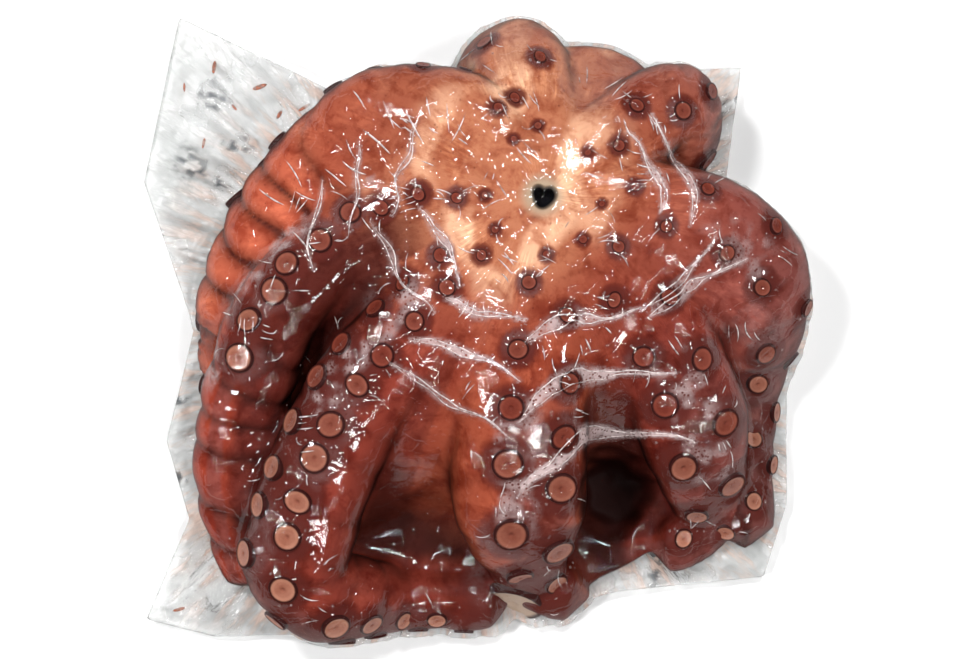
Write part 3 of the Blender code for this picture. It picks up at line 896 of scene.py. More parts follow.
def skin_colours(points, normals, places, lobe_shading):
    """The skin's colour at every point, from the pale crown to the dark arms, with painted shade
    on shaded flanks, on skin that faces sideways and in the lobes' creases, painted light on the
    lobes' tops, and painted sheen in the crown's pale patches.
    """
    own = np.array([arm.colour for arm in ARMS.values()])
    weight = np.exp(-(places.offs - places.offs.min(1)[:, None]) / (5 * MM))
    weight /= weight.sum(1)[:, None]
    arm = weight @ own
    fade = of_arms(places, (arm.fade for arm in ARMS.values()))
    arm = arm * (1 - fade * smooth_share(*ARM_FADES, places.along))[:, None]
    x, y = (points[:, :2] - np.array(PALE_MIDDLE)).T
    away = np.hypot(x, 1.08 * y) + 9 * MM * unevenness(points, 34 * MM, 11)
    # Pale patches on the crown: partly the skin's own paler tone, partly painted wet sheen.
    wet = smooth_share(0.0, 0.7, unevenness(points, 15 * MM, 12))[:, None]
    crown = mixed(np.array(CROWN_SKIN), np.array(CROWN_PALE_AND_SHEEN), wet)
    near = 1.0 - smooth_share(*WEB_FADES, away)[:, None]
    middle = 1.0 - smooth_share(*CROWN_FADES, away)[:, None]
    colour = mixed(mixed(arm, np.array(WEB_SKIN), near), crown, middle)
    colour = mixed(colour, np.array(BAND), BAND_STRENGTH * between_rows(places)[:, None])
    colour = mixed(colour, np.array(SHADE), flank_shades(places)[:, None])
    # Painted shade: skin is darker the less it faces up, darker in the lobes' creases and lighter
    # on their tops.
    facing = SIDE_LIGHT + (1 - SIDE_LIGHT) * smooth_share(0.0, 0.6, normals[:, 2])
    return colour * (facing * (1 - LOBE_SHADING_STRENGTH * lobe_shading))[:, None]


def route_place(name, along):
    """The middle of an arm, this many millimetres along it from the mouth."""
    route = ROUTES[name]
    return route[min(int(along * MM / ROUTE_STEP), len(route) - 1), :3]


def hole_share(points):
    """How far every point lies in the dark hole between two arms."""
    first, second = (route_place(name, HOLE_ALONG)[:2] for name in HOLE_ARMS)
    x, y = (points[:, :2] - (first + (second - first) * HOLE_SHARE)).T
    ragged = 2 * MM * unevenness(points, 8 * MM, 13)
    near = (np.hypot(x, y * HOLE_SQUAT) + ragged) / HOLE_RADIUS
    return 1 - smooth_share(0.65, 1.2, near)


def painted_fold_shade(points, places):
    """How much painted shade darkens the folds between the arms, up to black in the hole between
    two.
    """
    away = np.hypot(*(points[:, :2] - CROWN[:2]).T)
    before = np.where(places.turn > 0, places.number, places.number - 1) % len(ARMS)
    start, full = np.array([FOLD_DARKENS[name] for name in ARMS])[before].T * MM
    fold = smooth_share(1 * MM, 9 * MM, places.off) * smooth_share(start, full, away)
    return np.clip(np.maximum(FOLD_DARKNESS * fold, hole_share(points)), 0.0, 1.0)


Seat = namedtuple("Seat", "place normal radius along")


def sucker_radius(along, arm_radius, widest):
    """Radius of the sucker this far along an arm."""
    grown = min((along - SUCKER_FIRST) / (SUCKER_GROWN - SUCKER_FIRST), 1.0)
    width = widest * (SUCKER_SMALL + (1 - SUCKER_SMALL) * grown ** SUCKER_GROWTH)
    return min(width / 2, SUCKER_SHARE * arm_radius)


def arm_seats(rows, route, skin):
    """The places of an arm's suckers on the skin, in two rows that part from the mouth on."""
    _, ridge, side = arm_frames(route)
    seats = []
    along = SUCKER_FIRST
    row = 1
    while along < min((len(route) - 2) * ROUTE_STEP, rows.last * MM):
        k = int(along / ROUTE_STEP)
        parted = smooth_share(0.0, SUCKER_PARTED, along)
        twist = rows.twist * max(along - SUCKER_PARTED, 0.0) / TWIST_LENGTH
        angle = math.radians((rows.turn + row * rows.spread) * parted + twist)
        outward = Vector(math.cos(angle) * ridge[k] + math.sin(angle) * side[k])
        above = Vector(route[k, :3]) + outward * RAY_START * route[k, 3]
        place, normal, _, _ = skin.ray_cast(above, -outward)
        if place is not None and place.z > SUCKER_LOWEST:
            radius = sucker_radius(along, route[k, 3], rows.widest * MM)
            seats.append(Seat(np.array(place), np.array(normal), radius, along))
        along += SUCKER_PITCH + (rows.pitch * MM - SUCKER_PITCH) * parted
        row = -row
    return seats


def sucker_seats(flesh):
    """Every sucker's place on the skin."""
    skin = surface_of(flesh)
    aside, high, width, facing = PALE_SUCKER
    before = Vector((aside * MM, 2 * CAD_BOX[0][1], high * MM))
    place, _, _, _ = skin.ray_cast(before, Vector((0.0, 1.0, 0.0)))
    facing = np.array(facing) / np.linalg.norm(facing)
    seats = [Seat(np.array(place), facing, width * MM / 2, PALE_ALONG)]
    for name, arm in ARMS.items():
        for seat in arm_seats(arm.rows, ROUTES[name], skin):
            free = [math.dist(seat.place, other.place) > seat.radius + other.radius
                    for other in seats]
            if all(free):
                seats.append(seat)
    return seats


def near_suckers(points, seats, reach):
    """For every point: the distance to the nearest sucker's middle, in its radii, counted
    only within `reach` radii."""
    share = np.full(len(points), reach)
    for seat in seats:
        box = np.abs(points - seat.place).max(1) < reach * seat.radius
        away = np.linalg.norm(points[box] - seat.place, axis=1) / seat.radius
        share[box] = np.minimum(share[box], away)
    return share


FIBRE_COUNT = 9             # more is finer fibres
FIBRE_LENGTH = 30 * MM
NEAR_REACH = 3.0            # radii of a sucker within which a point counts as near it
# The dark spot round each sucker is partly the skin's own pigment and partly painted shade at the
# sucker's base.
SPOT_EDGE = 0.9             # distances from a sucker's middle, in its radii: where its dark
SPOT_FADE = 0.95            # spot starts to fade, and how fast it does
CALM_TIMES = 60             # how often the skin is relaxed to tell its hollows


class OctopusFlesh(bpy.types.PropertyGroup):
    """The size that sets how fine the skin is"""
    voxel: bpy.props.FloatProperty(
        name="Skin grain", description="Edge length of the skin's faces",
        default=1.3 * MM, min=0.8 * MM, max=4 * MM, unit="LENGTH", subtype="DISTANCE")


class OCTOPUS_OT_flesh(bpy.types.Operator):
    """Build the octopus' body with its lobes, mouth and colours"""
    bl_idname = "octopus.flesh"
    bl_label = "Flesh"

    def execute(self, context):
        made = fused_skin(context.scene.octopus_flesh.voxel)
        refine_mouth(made)
        places, lip, throat, lobe_shading = shape_skin(made)
        data = made.data
        points = mesh_points(data)
        membrane = Membrane(mesh_edges(data), len(points))
        normals = mesh_normals(data)
        calm = membrane.relax(points, CALM_TIMES)
        hollow = ((calm - points) * normals).sum(1)
        seats = sucker_seats(made)
        close = near_suckers(points, seats, NEAR_REACH)
        store(data, "colour", skin_colours(points, normals, places, lobe_shading))
        store(data, "spot", np.exp(-(np.maximum(close - SPOT_EDGE, 0.0) / SPOT_FADE) ** 2))
        # Darkening of the hollows: partly the skin's own pigment, partly painted shade.
        store(data, "hollow", smooth_share(0.1 * MM, 2.2 * MM, hollow))
        # Painted shade in the folds between the arms and in the hole between two.
        store(data, "deep", painted_fold_shade(points, places))
        store(data, "lip", lip)
        # Painted shade: the mouth's throat is painted near black.
        store(data, "throat", throat)
        out = points - np.array(CROWN)
        turn = np.arctan2(out[:, 1], out[:, 0])
        store_vectors(data, "fibre", streak_places(
            turn, np.linalg.norm(out, axis=1), FIBRE_COUNT, FIBRE_LENGTH))
        finish_piece(made, "octopus", flesh_material())
        return {"FINISHED"}


# ---------------------------------------------------------------- geometry nodes
def node_tree(name, sizes):
    """A geometry node group with a geometry in, a geometry out, and named inputs."""
    tree = bpy.data.node_groups.new(name, "GeometryNodeTree")
    face = tree.interface
    face.new_socket("Geometry", in_out="INPUT", socket_type="NodeSocketGeometry")
    for title, kind, default in sizes:
        socket = face.new_socket(title, in_out="INPUT", socket_type=kind)
        if default is not None:
            socket.default_value = default
    face.new_socket("Geometry", in_out="OUTPUT", socket_type="NodeSocketGeometry")
    return tree


def run_nodes(made, tree, values):
    """Runs a node group on an object and keeps the result as its plain mesh."""
    modifier = made.modifiers.new(tree.name, "NODES")
    modifier.node_group = tree
    for item in tree.interface.items_tree:
        if item.in_out == "INPUT" and item.name in values:
            modifier[item.identifier] = values[item.name]
    apply_modifiers(made)


def cloud_object(name, points, layers, edges=()):
    """A mesh of points, and edges if any, with vector or number layers."""
    data = bpy.data.meshes.new(name)
    data.from_pydata([tuple(point) for point in points], list(edges), [])
    for title, values in layers.items():
        values = np.asarray(values, np.float32)
        keep = store if values.ndim == 1 else store_vectors
        keep(data, title, values)
    made = bpy.data.objects.new(name, data)
    bpy.context.scene.collection.objects.link(made)
    return made


def scatter_tree(name, material):
    """Sets a form on every point, standing along `outward` and stretched by `stretch`."""
    tree = node_tree(name, (("Form", "NodeSocketObject", None),))
    source = add_node(tree, "NodeGroupInput")
    outward, spin, stretch = (
        add_node(tree, "GeometryNodeInputNamedAttribute", {"Name": layer},
                 data_type="FLOAT_VECTOR") for layer in ("outward", "spin", "stretch"))
    stand = add_node(tree, "FunctionNodeAlignRotationToVector",
                     {"Vector": outward.outputs[0]}, axis="Z")
    lead = add_node(tree, "FunctionNodeAlignRotationToVector",
                    {"Rotation": stand.outputs[0], "Vector": spin.outputs[0]},
                    axis="X", pivot_axis="Z")
    form = add_node(tree, "GeometryNodeObjectInfo", {"Object": source.outputs["Form"]})
    placed = add_node(tree, "GeometryNodeInstanceOnPoints", {
        "Points": source.outputs["Geometry"], "Instance": form.outputs["Geometry"],
        "Rotation": lead.outputs[0], "Scale": stretch.outputs[0]})
    real = add_node(tree, "GeometryNodeRealizeInstances",
                    {"Geometry": placed.outputs[0]})
    painted = add_node(tree, "GeometryNodeSetMaterial",
                       {"Geometry": real.outputs[0], "Material": material})
    add_node(tree, "NodeGroupOutput", {"Geometry": painted.outputs[0]})
    return tree


# ---------------------------------------------------------------- suckers
def sucker_form():
    """One sucker of radius 1, with how far out each point lies."""
    mesh = bmesh.new()
    ring_layer = mesh.verts.layers.float.new("ring")
    middle = mesh.verts.new((0.0, 0.0, SUCKER_PROFILE[0][1]))
    rings = []
    for share, height in SUCKER_PROFILE[1:]:
        ring = []
        for k in range(SUCKER_SEGMENTS):
            turn = math.tau * k / SUCKER_SEGMENTS
            vert = mesh.verts.new((share * math.cos(turn), share * math.sin(turn), height))
            vert[ring_layer] = share
            ring.append(vert)
        rings.append(ring)
    for vert in rings[-1]:
        vert[ring_layer] = 1.0
    add_fan(mesh, rings[0], middle)
    for ring, after in zip(rings, rings[1:]):
        add_band(mesh, ring, after)
    mesh.faces.new(rings[-1])
    return mesh_object("sucker_form", mesh)


SUCKER_OVAL = (0.78, 1.06)  # width across against along
SUCKER_HEIGHT = (0.85, 1.15)                    # height against the profile
SUCKER_TAN = (80 * MM, 175 * MM)                # distances over which they turn from red to tan
TAN_SPREAD = 0.12           # how unevenly they do


class OCTOPUS_OT_suckers(bpy.types.Operator):
    """Set the suckers on the arms"""
    bl_idname = "octopus.suckers"
    bl_label = "Suckers"

    def execute(self, context):
        flesh = bpy.data.objects["octopus_flesh"]
        seats = sucker_seats(flesh)
        draw = np.random.default_rng(4)
        count = len(seats)
        radius = np.array([seat.radius for seat in seats])
        normal = np.array([seat.normal for seat in seats])
        along = np.array([seat.along for seat in seats])
        oval = draw.uniform(*SUCKER_OVAL, count)
        flat = draw.uniform(*SUCKER_HEIGHT, count)
        tint = smooth_share(*SUCKER_TAN, along) + draw.uniform(-TAN_SPREAD, TAN_SPREAD, count)
        made = cloud_object("suckers", [seat.place for seat in seats], {
            "outward": normal, "spin": draw.normal(size=(count, 3)),
            "stretch": np.column_stack([radius, radius * oval, radius * flat]),
            "tint": np.clip(tint, 0.0, 1.0), "pale": (along == PALE_ALONG).astype(float)})
        form = sucker_form()
        run_nodes(made, scatter_tree("set_suckers", sucker_material()), {"Form": form})
        bpy.data.objects.remove(form)
        finish_piece(made, "octopus")
        return {"FINISHED"}


# ---------------------------------------------------------------- the tight film
FILM_GAP = 0.35 * MM        # least distance between film and flesh
FILM_PULLS = 70             # how often the film is drawn tight
FILM_PULL = 0.6             # how far each time
FILM_EVEN = 6               # how often its directions off the flesh are evened out
FILM_LOWEST = 0.05 * MM
SUCKER_RISE = 0.20          # height at which the film clears a sucker, in its radii
SUCKER_CLEARS = (0.98, 1.25)                    # distances over which it comes down, in radii
SUCKER_BOX = 1.4            # radii beyond which a sucker lifts no film
CREASE_LOWEST = 12 * MM     # no crease lies lower on the pack
# How milky the film is where it stands off the flesh, and over which distances off it; the same
# for rims of juice round the suckers, in their radii; and the distances from a sucker's middle,
# in its radii, over which the clear film on it ends.
OFF_HAZE = 0.006
OFF_RANGE = (0.5 * MM, 3.0 * MM)
RIM_HAZE = 0.07
RIM_RANGE = (1.3, 2.4)
CLEAR_RANGE = (0.98, 1.18)
VOID_RANGE = (0.1, 0.6)     # shares of the hole over which the film ends
VOID_THROAT = 0.8           # how far the film is gone over the throat

# A fold that the vacuum has pulled up between two arms: each arm with the distance along it
# from the mouth, how far the fold bows back towards the mouth and half its width, all in
# millimetres, and how milky it is.
Fold = namedtuple("Fold", "first along second beyond bow width milk")
FOLDS = (
    Fold("south_west", 56, "south", 46, -2, 1.6, 0.60),
    Fold("south_west", 74, "south", 70, 2, 1.4, 0.55),
    Fold("south_west", 88, "south", 96, 0, 1.0, 0.30),
    Fold("west", 46, "south_west", 50, 2, 1.2, 0.45),
    Fold("west", 68, "south_west", 66, 0, 1.0, 0.28),
    Fold("south", 60, "south_east", 62, 6, 2.4, 0.50),
    Fold("south", 88, "south_east", 88, 11, 2.8, 0.62),
    Fold("south", 122, "south_east", 118, 15, 2.4, 0.68),
    Fold("south_east", 66, "east", 84, 0, 1.8, 0.42),
    Fold("south_east", 60, "east", 70, -3, 1.2, 0.32),
    Fold("east", 46, "north_east", 42, -4, 1.6, 0.50),
    Fold("east", 60, "north_east", 58, -4, 1.2, 0.45),
    Fold("north_west", 60, "west", 62, 0, 0.9, 0.26),
    Fold("north_west", 84, "west", 80, 0, 0.8, 0.26),
    Fold("north_west", 108, "west", 100, 0, 0.7, 0.26),
)
FOLD_POINTS = 26
FOLD_RISE = 0.8 * MM        # how far a fold stands off the film round it
FOLD_KINK = 2.4 * MM        # how far its line strays
FOLD_PEAK = 0.42            # share of the way along at which it is pulled highest
FOLD_LEAST = 24 * MM        # folds lie on the film above this height
# A fold's two sharp edges: share of its half width to the side, and radius in millimetres.
FOLD_THREADS = ((0.9, 0.26), (-0.9, 0.17))
FOLD_REFINED = 4            # points between two points of its line, to find the nearest


def fold_path(fold):
    """The line of a fold seen from above."""
    start = route_place(fold.first, fold.along)[:2]
    stop = route_place(fold.second, fold.beyond)[:2]
    share = np.linspace(0.0, 1.0, FOLD_POINTS)
    line = start + (stop - start) * share[:, None]
    inward = np.array(CROWN[:2]) - line.mean(0)
    inward /= np.linalg.norm(inward)
    flat = np.column_stack([line, np.zeros(FOLD_POINTS)])
    peak = np.minimum(share / FOLD_PEAK, (1 - share) / (1 - FOLD_PEAK)) ** 0.8
    stray = fold.bow * MM * peak + FOLD_KINK * unevenness(flat, 13 * MM, 31)
    return line + inward * stray[:, None]


def fold_widths(fold, share):
    """Half the width of a fold along it: broad at first, thin in its second half."""
    broad = np.sin(math.pi * share) ** 0.7 * (1 - 0.75 * smooth_share(0.40, 0.70, share))
    return fold.width * MM * broad


def fold_edges(fold):
    """The two sharp edges of a fold, which part in its middle, with their radii."""
    path = fold_path(fold)
    ahead = np.gradient(path, axis=0)
    ahead /= np.linalg.norm(ahead, axis=1)[:, None]
    across = np.column_stack([-ahead[:, 1], ahead[:, 0]])
    part = fold_widths(fold, np.linspace(0.0, 1.0, FOLD_POINTS))
    part *= 1 + 0.5 * unevenness(np.column_stack([path, np.zeros(FOLD_POINTS)]), 6 * MM, 32)
    return [(path + across * (side * part)[:, None], radius * MM)
            for side, radius in FOLD_THREADS]


def fold_shares(points):
    """For every point of the film: how much it belongs to a fold, and how milky that is."""
    ridge = np.zeros(len(points))
    milk = np.zeros(len(points))
    above = smooth_share(FOLD_LEAST, FOLD_LEAST + 6 * MM, points[:, 2])
    for fold in FOLDS:
        path = fold_path(fold)
        fine = np.vstack([path[:-1] + (path[1:] - path[:-1]) * k / FOLD_REFINED
                          for k in range(FOLD_REFINED)])
        square = square_gaps(points[:, :2], fine)
        share = square.argmin(1) % (len(path) - 1) / (len(path) - 1)
        wide = fold_widths(fold, share) + 0.5 * MM
        off = np.sqrt(np.maximum(square.min(1), 0.0)) / wide
        ridge = np.maximum(ridge, above * (1 - smooth_share(0.7, 1.3, off)))
        milk = np.maximum(milk, above * fold.milk * (1 - smooth_share(0.5, 1.8, off)))
    return ridge, milk


# Bands of froth and doubled film along an arm: the arm, the middle of the band and half its
# width in degrees round it from the upper side (more than 0 is towards the next arm), the
# distances along it between which the band lies, in millimetres, and how milky it is.
FROTHY_BANDS = (
    ("south", 0, 20, 76, 120, 0.34), ("south_west", 32, 18, 58, 118, 0.40),
    ("west", 50, 17, 52, 150, 0.34), ("south_east", 0, 24, 76, 122, 0.38),
    ("east", 0, 24, 60, 90, 0.22),
)
# Grey doubled film: the arm and distance along it where it lies, how wide, how milky.
GREY_FILM = (("east", 116, 12, 0.07), ("east", 142, 12, 0.03))


def foam_shares(points, places):
    """How milky the bands of froth make every point of the film."""
    flecks = smooth_share(-0.25, 0.7, unevenness(points, 9 * MM, 35)
                          + 0.7 * unevenness(points, 4 * MM, 37))
    milk = np.zeros(len(points))
    for name, middle, half, start, stop, strength in FROTHY_BANDS:
        own = places.number == list(ARMS).index(name)
        off = degrees_off(places, middle) / half
        along = (smooth_share(start - 6, start + 4, places.along / MM)
                 * (1 - smooth_share(stop - 4, stop + 6, places.along / MM)))
        milk = np.maximum(milk, strength * own * along * (1 - smooth_share(0.6, 1.2, off)))
    return milk * flecks


def grey_shares(points):
    """How milky the doubled film makes every point."""
    milk = np.zeros(len(points))
    for name, along, wide, strength in GREY_FILM:
        away = np.hypot(*(points[:, :2] - route_place(name, along)[:2]).T)
        away = away + 4 * MM * unevenness(points, 9 * MM, 36)
        milk = np.maximum(milk, strength * (1 - smooth_share(0.6, 1.0, away / (wide * MM))))
    return milk * smooth_share(CREASE_LOWEST, 2 * CREASE_LOWEST, points[:, 2])


def drawn_film(flesh, seats):
    """The film's points over the flesh: pulled tight, but never into flesh or suckers."""
    data = flesh.data
    points = mesh_points(data)
    normals = mesh_normals(data)
    _, throat = mouth_shares(points)
    close = near_suckers(points, seats, NEAR_REACH)
    bump = np.zeros(len(points))
    for seat in seats:
        box = np.abs(points - seat.place).max(1) < SUCKER_BOX * seat.radius
        away = np.linalg.norm(points[box] - seat.place, axis=1) / seat.radius
        rise = SUCKER_RISE * seat.radius * (1 - smooth_share(*SUCKER_CLEARS, away))
        bump[box] = np.maximum(bump[box], rise)
    ridge, _ = fold_shares(points)
    least = FILM_GAP + bump + FOLD_RISE * ridge
    membrane = Membrane(mesh_edges(data), len(points))
    even = membrane.relax(normals, FILM_EVEN)
    even /= np.linalg.norm(even, axis=1)[:, None]
    base = points.copy()
    base[:, 2] += MOUTH_DEPTH * throat
    film = base + even * least[:, None]
    for _ in range(FILM_PULLS):
        film = membrane.relax(film, 1, FILM_PULL)
        lift = ((film - base) * even).sum(1)
        film += even * np.maximum(least - lift, 0.0)[:, None]
        film[:, 2] = np.maximum(film[:, 2], FILM_LOWEST)
    lift = ((film - base) * even).sum(1) - least
    return film, lift, close


SKIN_LAYERS = ("colour", "spot", "hollow", "deep", "lip", "throat", "fibre")


class OCTOPUS_OT_film(bpy.types.Operator):
    """Draw the film tight over the octopus"""
    bl_idname = "octopus.film"
    bl_label = "Film"

    def execute(self, context):
        flesh = bpy.data.objects["octopus_flesh"]
        flesh_points = mesh_points(flesh.data)
        film, lift, close = drawn_film(flesh, sucker_seats(flesh))
        data = flesh.data.copy()
        for layer in list(data.attributes):
            if layer.name in SKIN_LAYERS:
                data.attributes.remove(layer)
        data.materials.clear()
        made = bpy.data.objects.new("tight_film", data)
        context.scene.collection.objects.link(made)
        set_points(data, film)
        patches = 0.5 + 0.5 * unevenness(film, 12 * MM, 33)
        places = arm_places(film)
        haze = smooth_share(*OFF_RANGE, lift) * OFF_HAZE * patches ** 2
        haze = np.maximum(haze, grey_shares(film) * (0.6 + 0.4 * patches))
        haze = np.maximum(haze, foam_shares(film, places))
        haze += RIM_HAZE * smooth_share(0.6, 1.0, patches) * (1 - smooth_share(*RIM_RANGE, close))
        haze = np.maximum(haze, fold_shares(film)[1]) * smooth_share(*CLEAR_RANGE, close)
        store(data, "haze", haze)
        void = smooth_share(*VOID_RANGE, hole_share(flesh_points))
        store(data, "void", np.maximum(void, VOID_THROAT * mouth_shares(flesh_points)[1]))
        finish_piece(made, "octopus", film_material())
        return {"FINISHED"}


# ---------------------------------------------------------------- creases in the film
CREASE_POINTS = 7
CROWN_CREASES = 30          # groups of them
ARM_CREASES = 3             # groups on each arm
STRIPE_STEP = 6.5 * MM      # step of the long creases across the broad arm
STRIPES = (45 * MM, 135 * MM)                   # distances between which they lie
STRIPED_ARM = "north_west"
THREAD_SIDES = 6
STEEPEST = 0.35             # suckers that face more sideways than this have no creases


def short_line(start, heading, length, bend):
    """Points along a short, slightly bent line seen from above."""
    share = np.linspace(0.0, 1.0, CREASE_POINTS)
    turn = heading + bend * (share - 0.5)
    step = np.column_stack([np.cos(turn), np.sin(turn)]) * length / (CREASE_POINTS - 1)
    return np.array(start) + np.cumsum(step, axis=0) - step[0]


def sucker_creases(seats, draw):
    """Short creases that run off the suckers' edges."""
    for seat in seats:
        if seat.normal[2] < STEEPEST:
            continue
        for _ in range(draw.integers(0, 3)):
            heading = draw.uniform(0.0, math.tau)
            start = seat.place[:2] + 1.15 * seat.radius * direction_of(heading)
            line = short_line(start, heading + draw.normal(0.0, 0.4),
                              draw.uniform(3, 8) * MM, draw.normal(0.0, 0.9))
            yield line, draw.uniform(0.12, 0.26) * MM


def crease_group(start, heading, draw):
    """A few short creases side by side, nearly parallel."""
    across = direction_of(heading + math.pi / 2)
    for number in range(draw.integers(1, 4)):
        place = start + across * number * draw.uniform(1.6, 3.4) * MM
        yield (short_line(place, heading + draw.normal(0.0, 0.16), draw.uniform(2.5, 9) * MM,
                          draw.normal(0.0, 0.45)), draw.uniform(0.12, 0.32) * MM)


def crown_creases(draw):
    """Creases scattered round the mouth, along or across the way out from it."""
    for _ in range(CROWN_CREASES):
        turn = draw.uniform(0.0, math.tau)
        away = draw.uniform(13, 72) * MM
        start = np.array(CROWN[:2]) + away * direction_of(turn)
        heading = turn + draw.choice((0.0, math.pi / 2)) + draw.normal(0.0, 0.45)
        yield from crease_group(start, heading, draw)


def arm_creases(draw):
    """Creases across and along the arms, and the long ones across the broad arm."""
    for route in ROUTES.values():
        tangents, _, _ = arm_frames(route)
        for _ in range(ARM_CREASES):
            k = draw.integers(len(route) // 4, 3 * len(route) // 4)
            along = math.atan2(tangents[k, 1], tangents[k, 0])
            across = direction_of(along + math.pi / 2)
            start = route[k, :2] + across * draw.uniform(-0.9, 0.9) * route[k, 3]
            heading = along + draw.choice((0.0, math.pi / 2)) + draw.normal(0.0, 0.4)
            yield from crease_group(start, heading, draw)
    route = ROUTES[STRIPED_ARM]
    tangents, _, _ = arm_frames(route)
    for along in np.arange(*STRIPES, STRIPE_STEP):
        k = int(along / ROUTE_STEP)
        heading = math.atan2(tangents[k, 1], tangents[k, 0]) + math.pi / 2
        across = direction_of(heading)
        start = route[k, :2] + across * draw.uniform(-0.9, 0.1) * route[k, 3]
        yield (short_line(start, heading + draw.normal(0.0, 0.2), draw.uniform(7, 15) * MM,
                          draw.normal(0.0, 0.3)), draw.uniform(0.22, 0.45) * MM)


def crease_tree(material):
    """Round threads along the edges, as thick as `thick` says, which sink half into the film."""
    tree = node_tree("draw_creases", (
        ("Sides", "NodeSocketInt", THREAD_SIDES), ("Thickness", "NodeSocketFloat", 1.0)))
    source = add_node(tree, "NodeGroupInput")
    line = add_node(tree, "GeometryNodeMeshToCurve", {"Mesh": source.outputs["Geometry"]})
    circle = add_node(tree, "GeometryNodeCurvePrimitiveCircle", {
        "Resolution": source.outputs["Sides"], "Radius": 1.0})
    thick = add_node(tree, "GeometryNodeInputNamedAttribute", {"Name": "thick"})
    wide = add_node(tree, "ShaderNodeMath", {
        0: thick.outputs[0], 1: source.outputs["Thickness"]}, operation="MULTIPLY")
    thread = add_node(tree, "GeometryNodeCurveToMesh", {
        "Curve": line.outputs[0], "Profile Curve": circle.outputs[0],
        "Scale": wide.outputs[0], "Fill Caps": True})
    real = add_node(tree, "GeometryNodeRealizeInstances", {"Geometry": thread.outputs[0]})
    painted = add_node(tree, "GeometryNodeSetMaterial",
                       {"Geometry": real.outputs[0], "Material": material})
    add_node(tree, "NodeGroupOutput", {"Geometry": painted.outputs[0]})
    return tree


def crease_material():
    """A sharp crease: glossy, and whitish, broken along its length, where the white is partly the
    film's own whitening and partly painted highlight.
    """
    recipe = Recipe("film_crease")
    # Whitish share: partly the film's stress whitening, partly painted highlight along the crease.
    broken = recipe.between(recipe.noise(2.5 * MM, 3.0, 0.6), 0.34, 0.60, 0.12, 0.80)
    grain = recipe.bump(recipe.noise(1.2 * MM, 3.0, 0.6), 0.3 * MM, 0.5)
    shine = recipe.node("ShaderNodeFresnel", {"IOR": 1.5, "Normal": grain})
    return recipe.surface(recipe.film(broken, shine.outputs[0], (1.0, 1.0, 1.0),
                                      (0.80, 0.70, 0.68), 0.10, grain))


class OCTOPUS_OT_creases(bpy.types.Operator):
    """Draw the sharp creases of the tight film"""
    bl_idname = "octopus.creases"
    bl_label = "Creases"

    def execute(self, context):
        flesh = bpy.data.objects["octopus_flesh"]
        film = surface_of(bpy.data.objects["tight_film"])
        draw = np.random.default_rng(12)
        lines = list(sucker_creases(sucker_seats(flesh), draw))
        lines += list(crown_creases(draw)) + list(arm_creases(draw))
        for fold in FOLDS:
            lines += fold_edges(fold)
        points = []
        edges = []
        thick = []
        for line, radius in lines:
            hits = [dropped(film, x, y)[0] for x, y in line]
            if any(hit is None or hit.z < CREASE_LOWEST for hit in hits):
                continue
            share = np.linspace(0.0, 1.0, len(hits))
            thick += list(radius * (0.12 + 0.88 * np.sin(math.pi * share) ** 0.7))
            first = len(points)
            points += hits
            edges += [(k, k + 1) for k in range(first, len(points) - 1)]
        made = cloud_object("film_creases", points, {"thick": thick}, edges)
        run_nodes(made, crease_tree(crease_material()), {
            "Sides": THREAD_SIDES, "Thickness": 1.0})
        finish_piece(made, "octopus")
        return {"FINISHED"}


# ---------------------------------------------------------------- froth under the film
FROTH_PER_FOLD = 34
FROTH_ROUND_SUCKERS = 3
BUBBLE_SIZES = (0.22, 0.55)                     # radii of the bubbles, in millimetres
BUBBLE_SQUAT = 0.7          # height against width


def froth_material():
    """Small bubbles of juice: clear, pinkish white, glossy."""
    recipe = Recipe("juice_froth")
    rim = recipe.node("ShaderNodeLayerWeight", {"Blend": 0.45})
    edge = recipe.math("MULTIPLY", rim.outputs["Facing"], 0.75, True)
    return recipe.surface(recipe.film(edge, 0.10, (0.95, 0.88, 0.86), (0.78, 0.62, 0.60), 0.06))


def ball_form(name, divisions):
    """A closed ball of radius 1."""
    mesh = bmesh.new()
    bmesh.ops.create_icosphere(mesh, subdivisions=divisions, radius=1.0)
    return mesh_object(name, mesh)


class OCTOPUS_OT_froth(bpy.types.Operator):
    """Set bubbles of froth under the folds and round the suckers"""
    bl_idname = "octopus.froth"
    bl_label = "Froth"

    def execute(self, context):
        film = surface_of(bpy.data.objects["tight_film"])
        draw = np.random.default_rng(17)
        spots = []
        for fold in FOLDS:
            path = fold_path(fold)
            for _ in range(FROTH_PER_FOLD):
                spot = path[draw.integers(len(path))]
                spots.append(spot + draw.normal(0.0, 0.9 * fold.width * MM, 2))
        for seat in sucker_seats(bpy.data.objects["octopus_flesh"]):
            for _ in range(FROTH_ROUND_SUCKERS * (seat.normal[2] > 0.3)):
                turn = draw.uniform(0.0, math.tau)
                reach = seat.radius * draw.uniform(1.1, 1.5)
                spots.append(seat.place[:2] + reach * direction_of(turn))
        places = []
        normals = []
        for x, y in spots:
            place, normal = dropped(film, x, y)
            if place is not None and place.z > CREASE_LOWEST:
                places.append(place)
                normals.append(normal)
        size = draw.uniform(*BUBBLE_SIZES, len(places)) * MM
        made = cloud_object("film_froth", places, {
            "outward": normals, "spin": draw.normal(size=(len(places), 3)),
            "stretch": np.column_stack([size, size, BUBBLE_SQUAT * size])})
        form = ball_form("bubble_form", 1)
        run_nodes(made, scatter_tree("set_froth", froth_material()), {"Form": form})
        bpy.data.objects.remove(form)
        finish_piece(made, "octopus")
        return {"FINISHED"}


# ---------------------------------------------------------------- the bag's margin
MARGIN_COLUMNS = 720
MARGIN_ROWS = 30
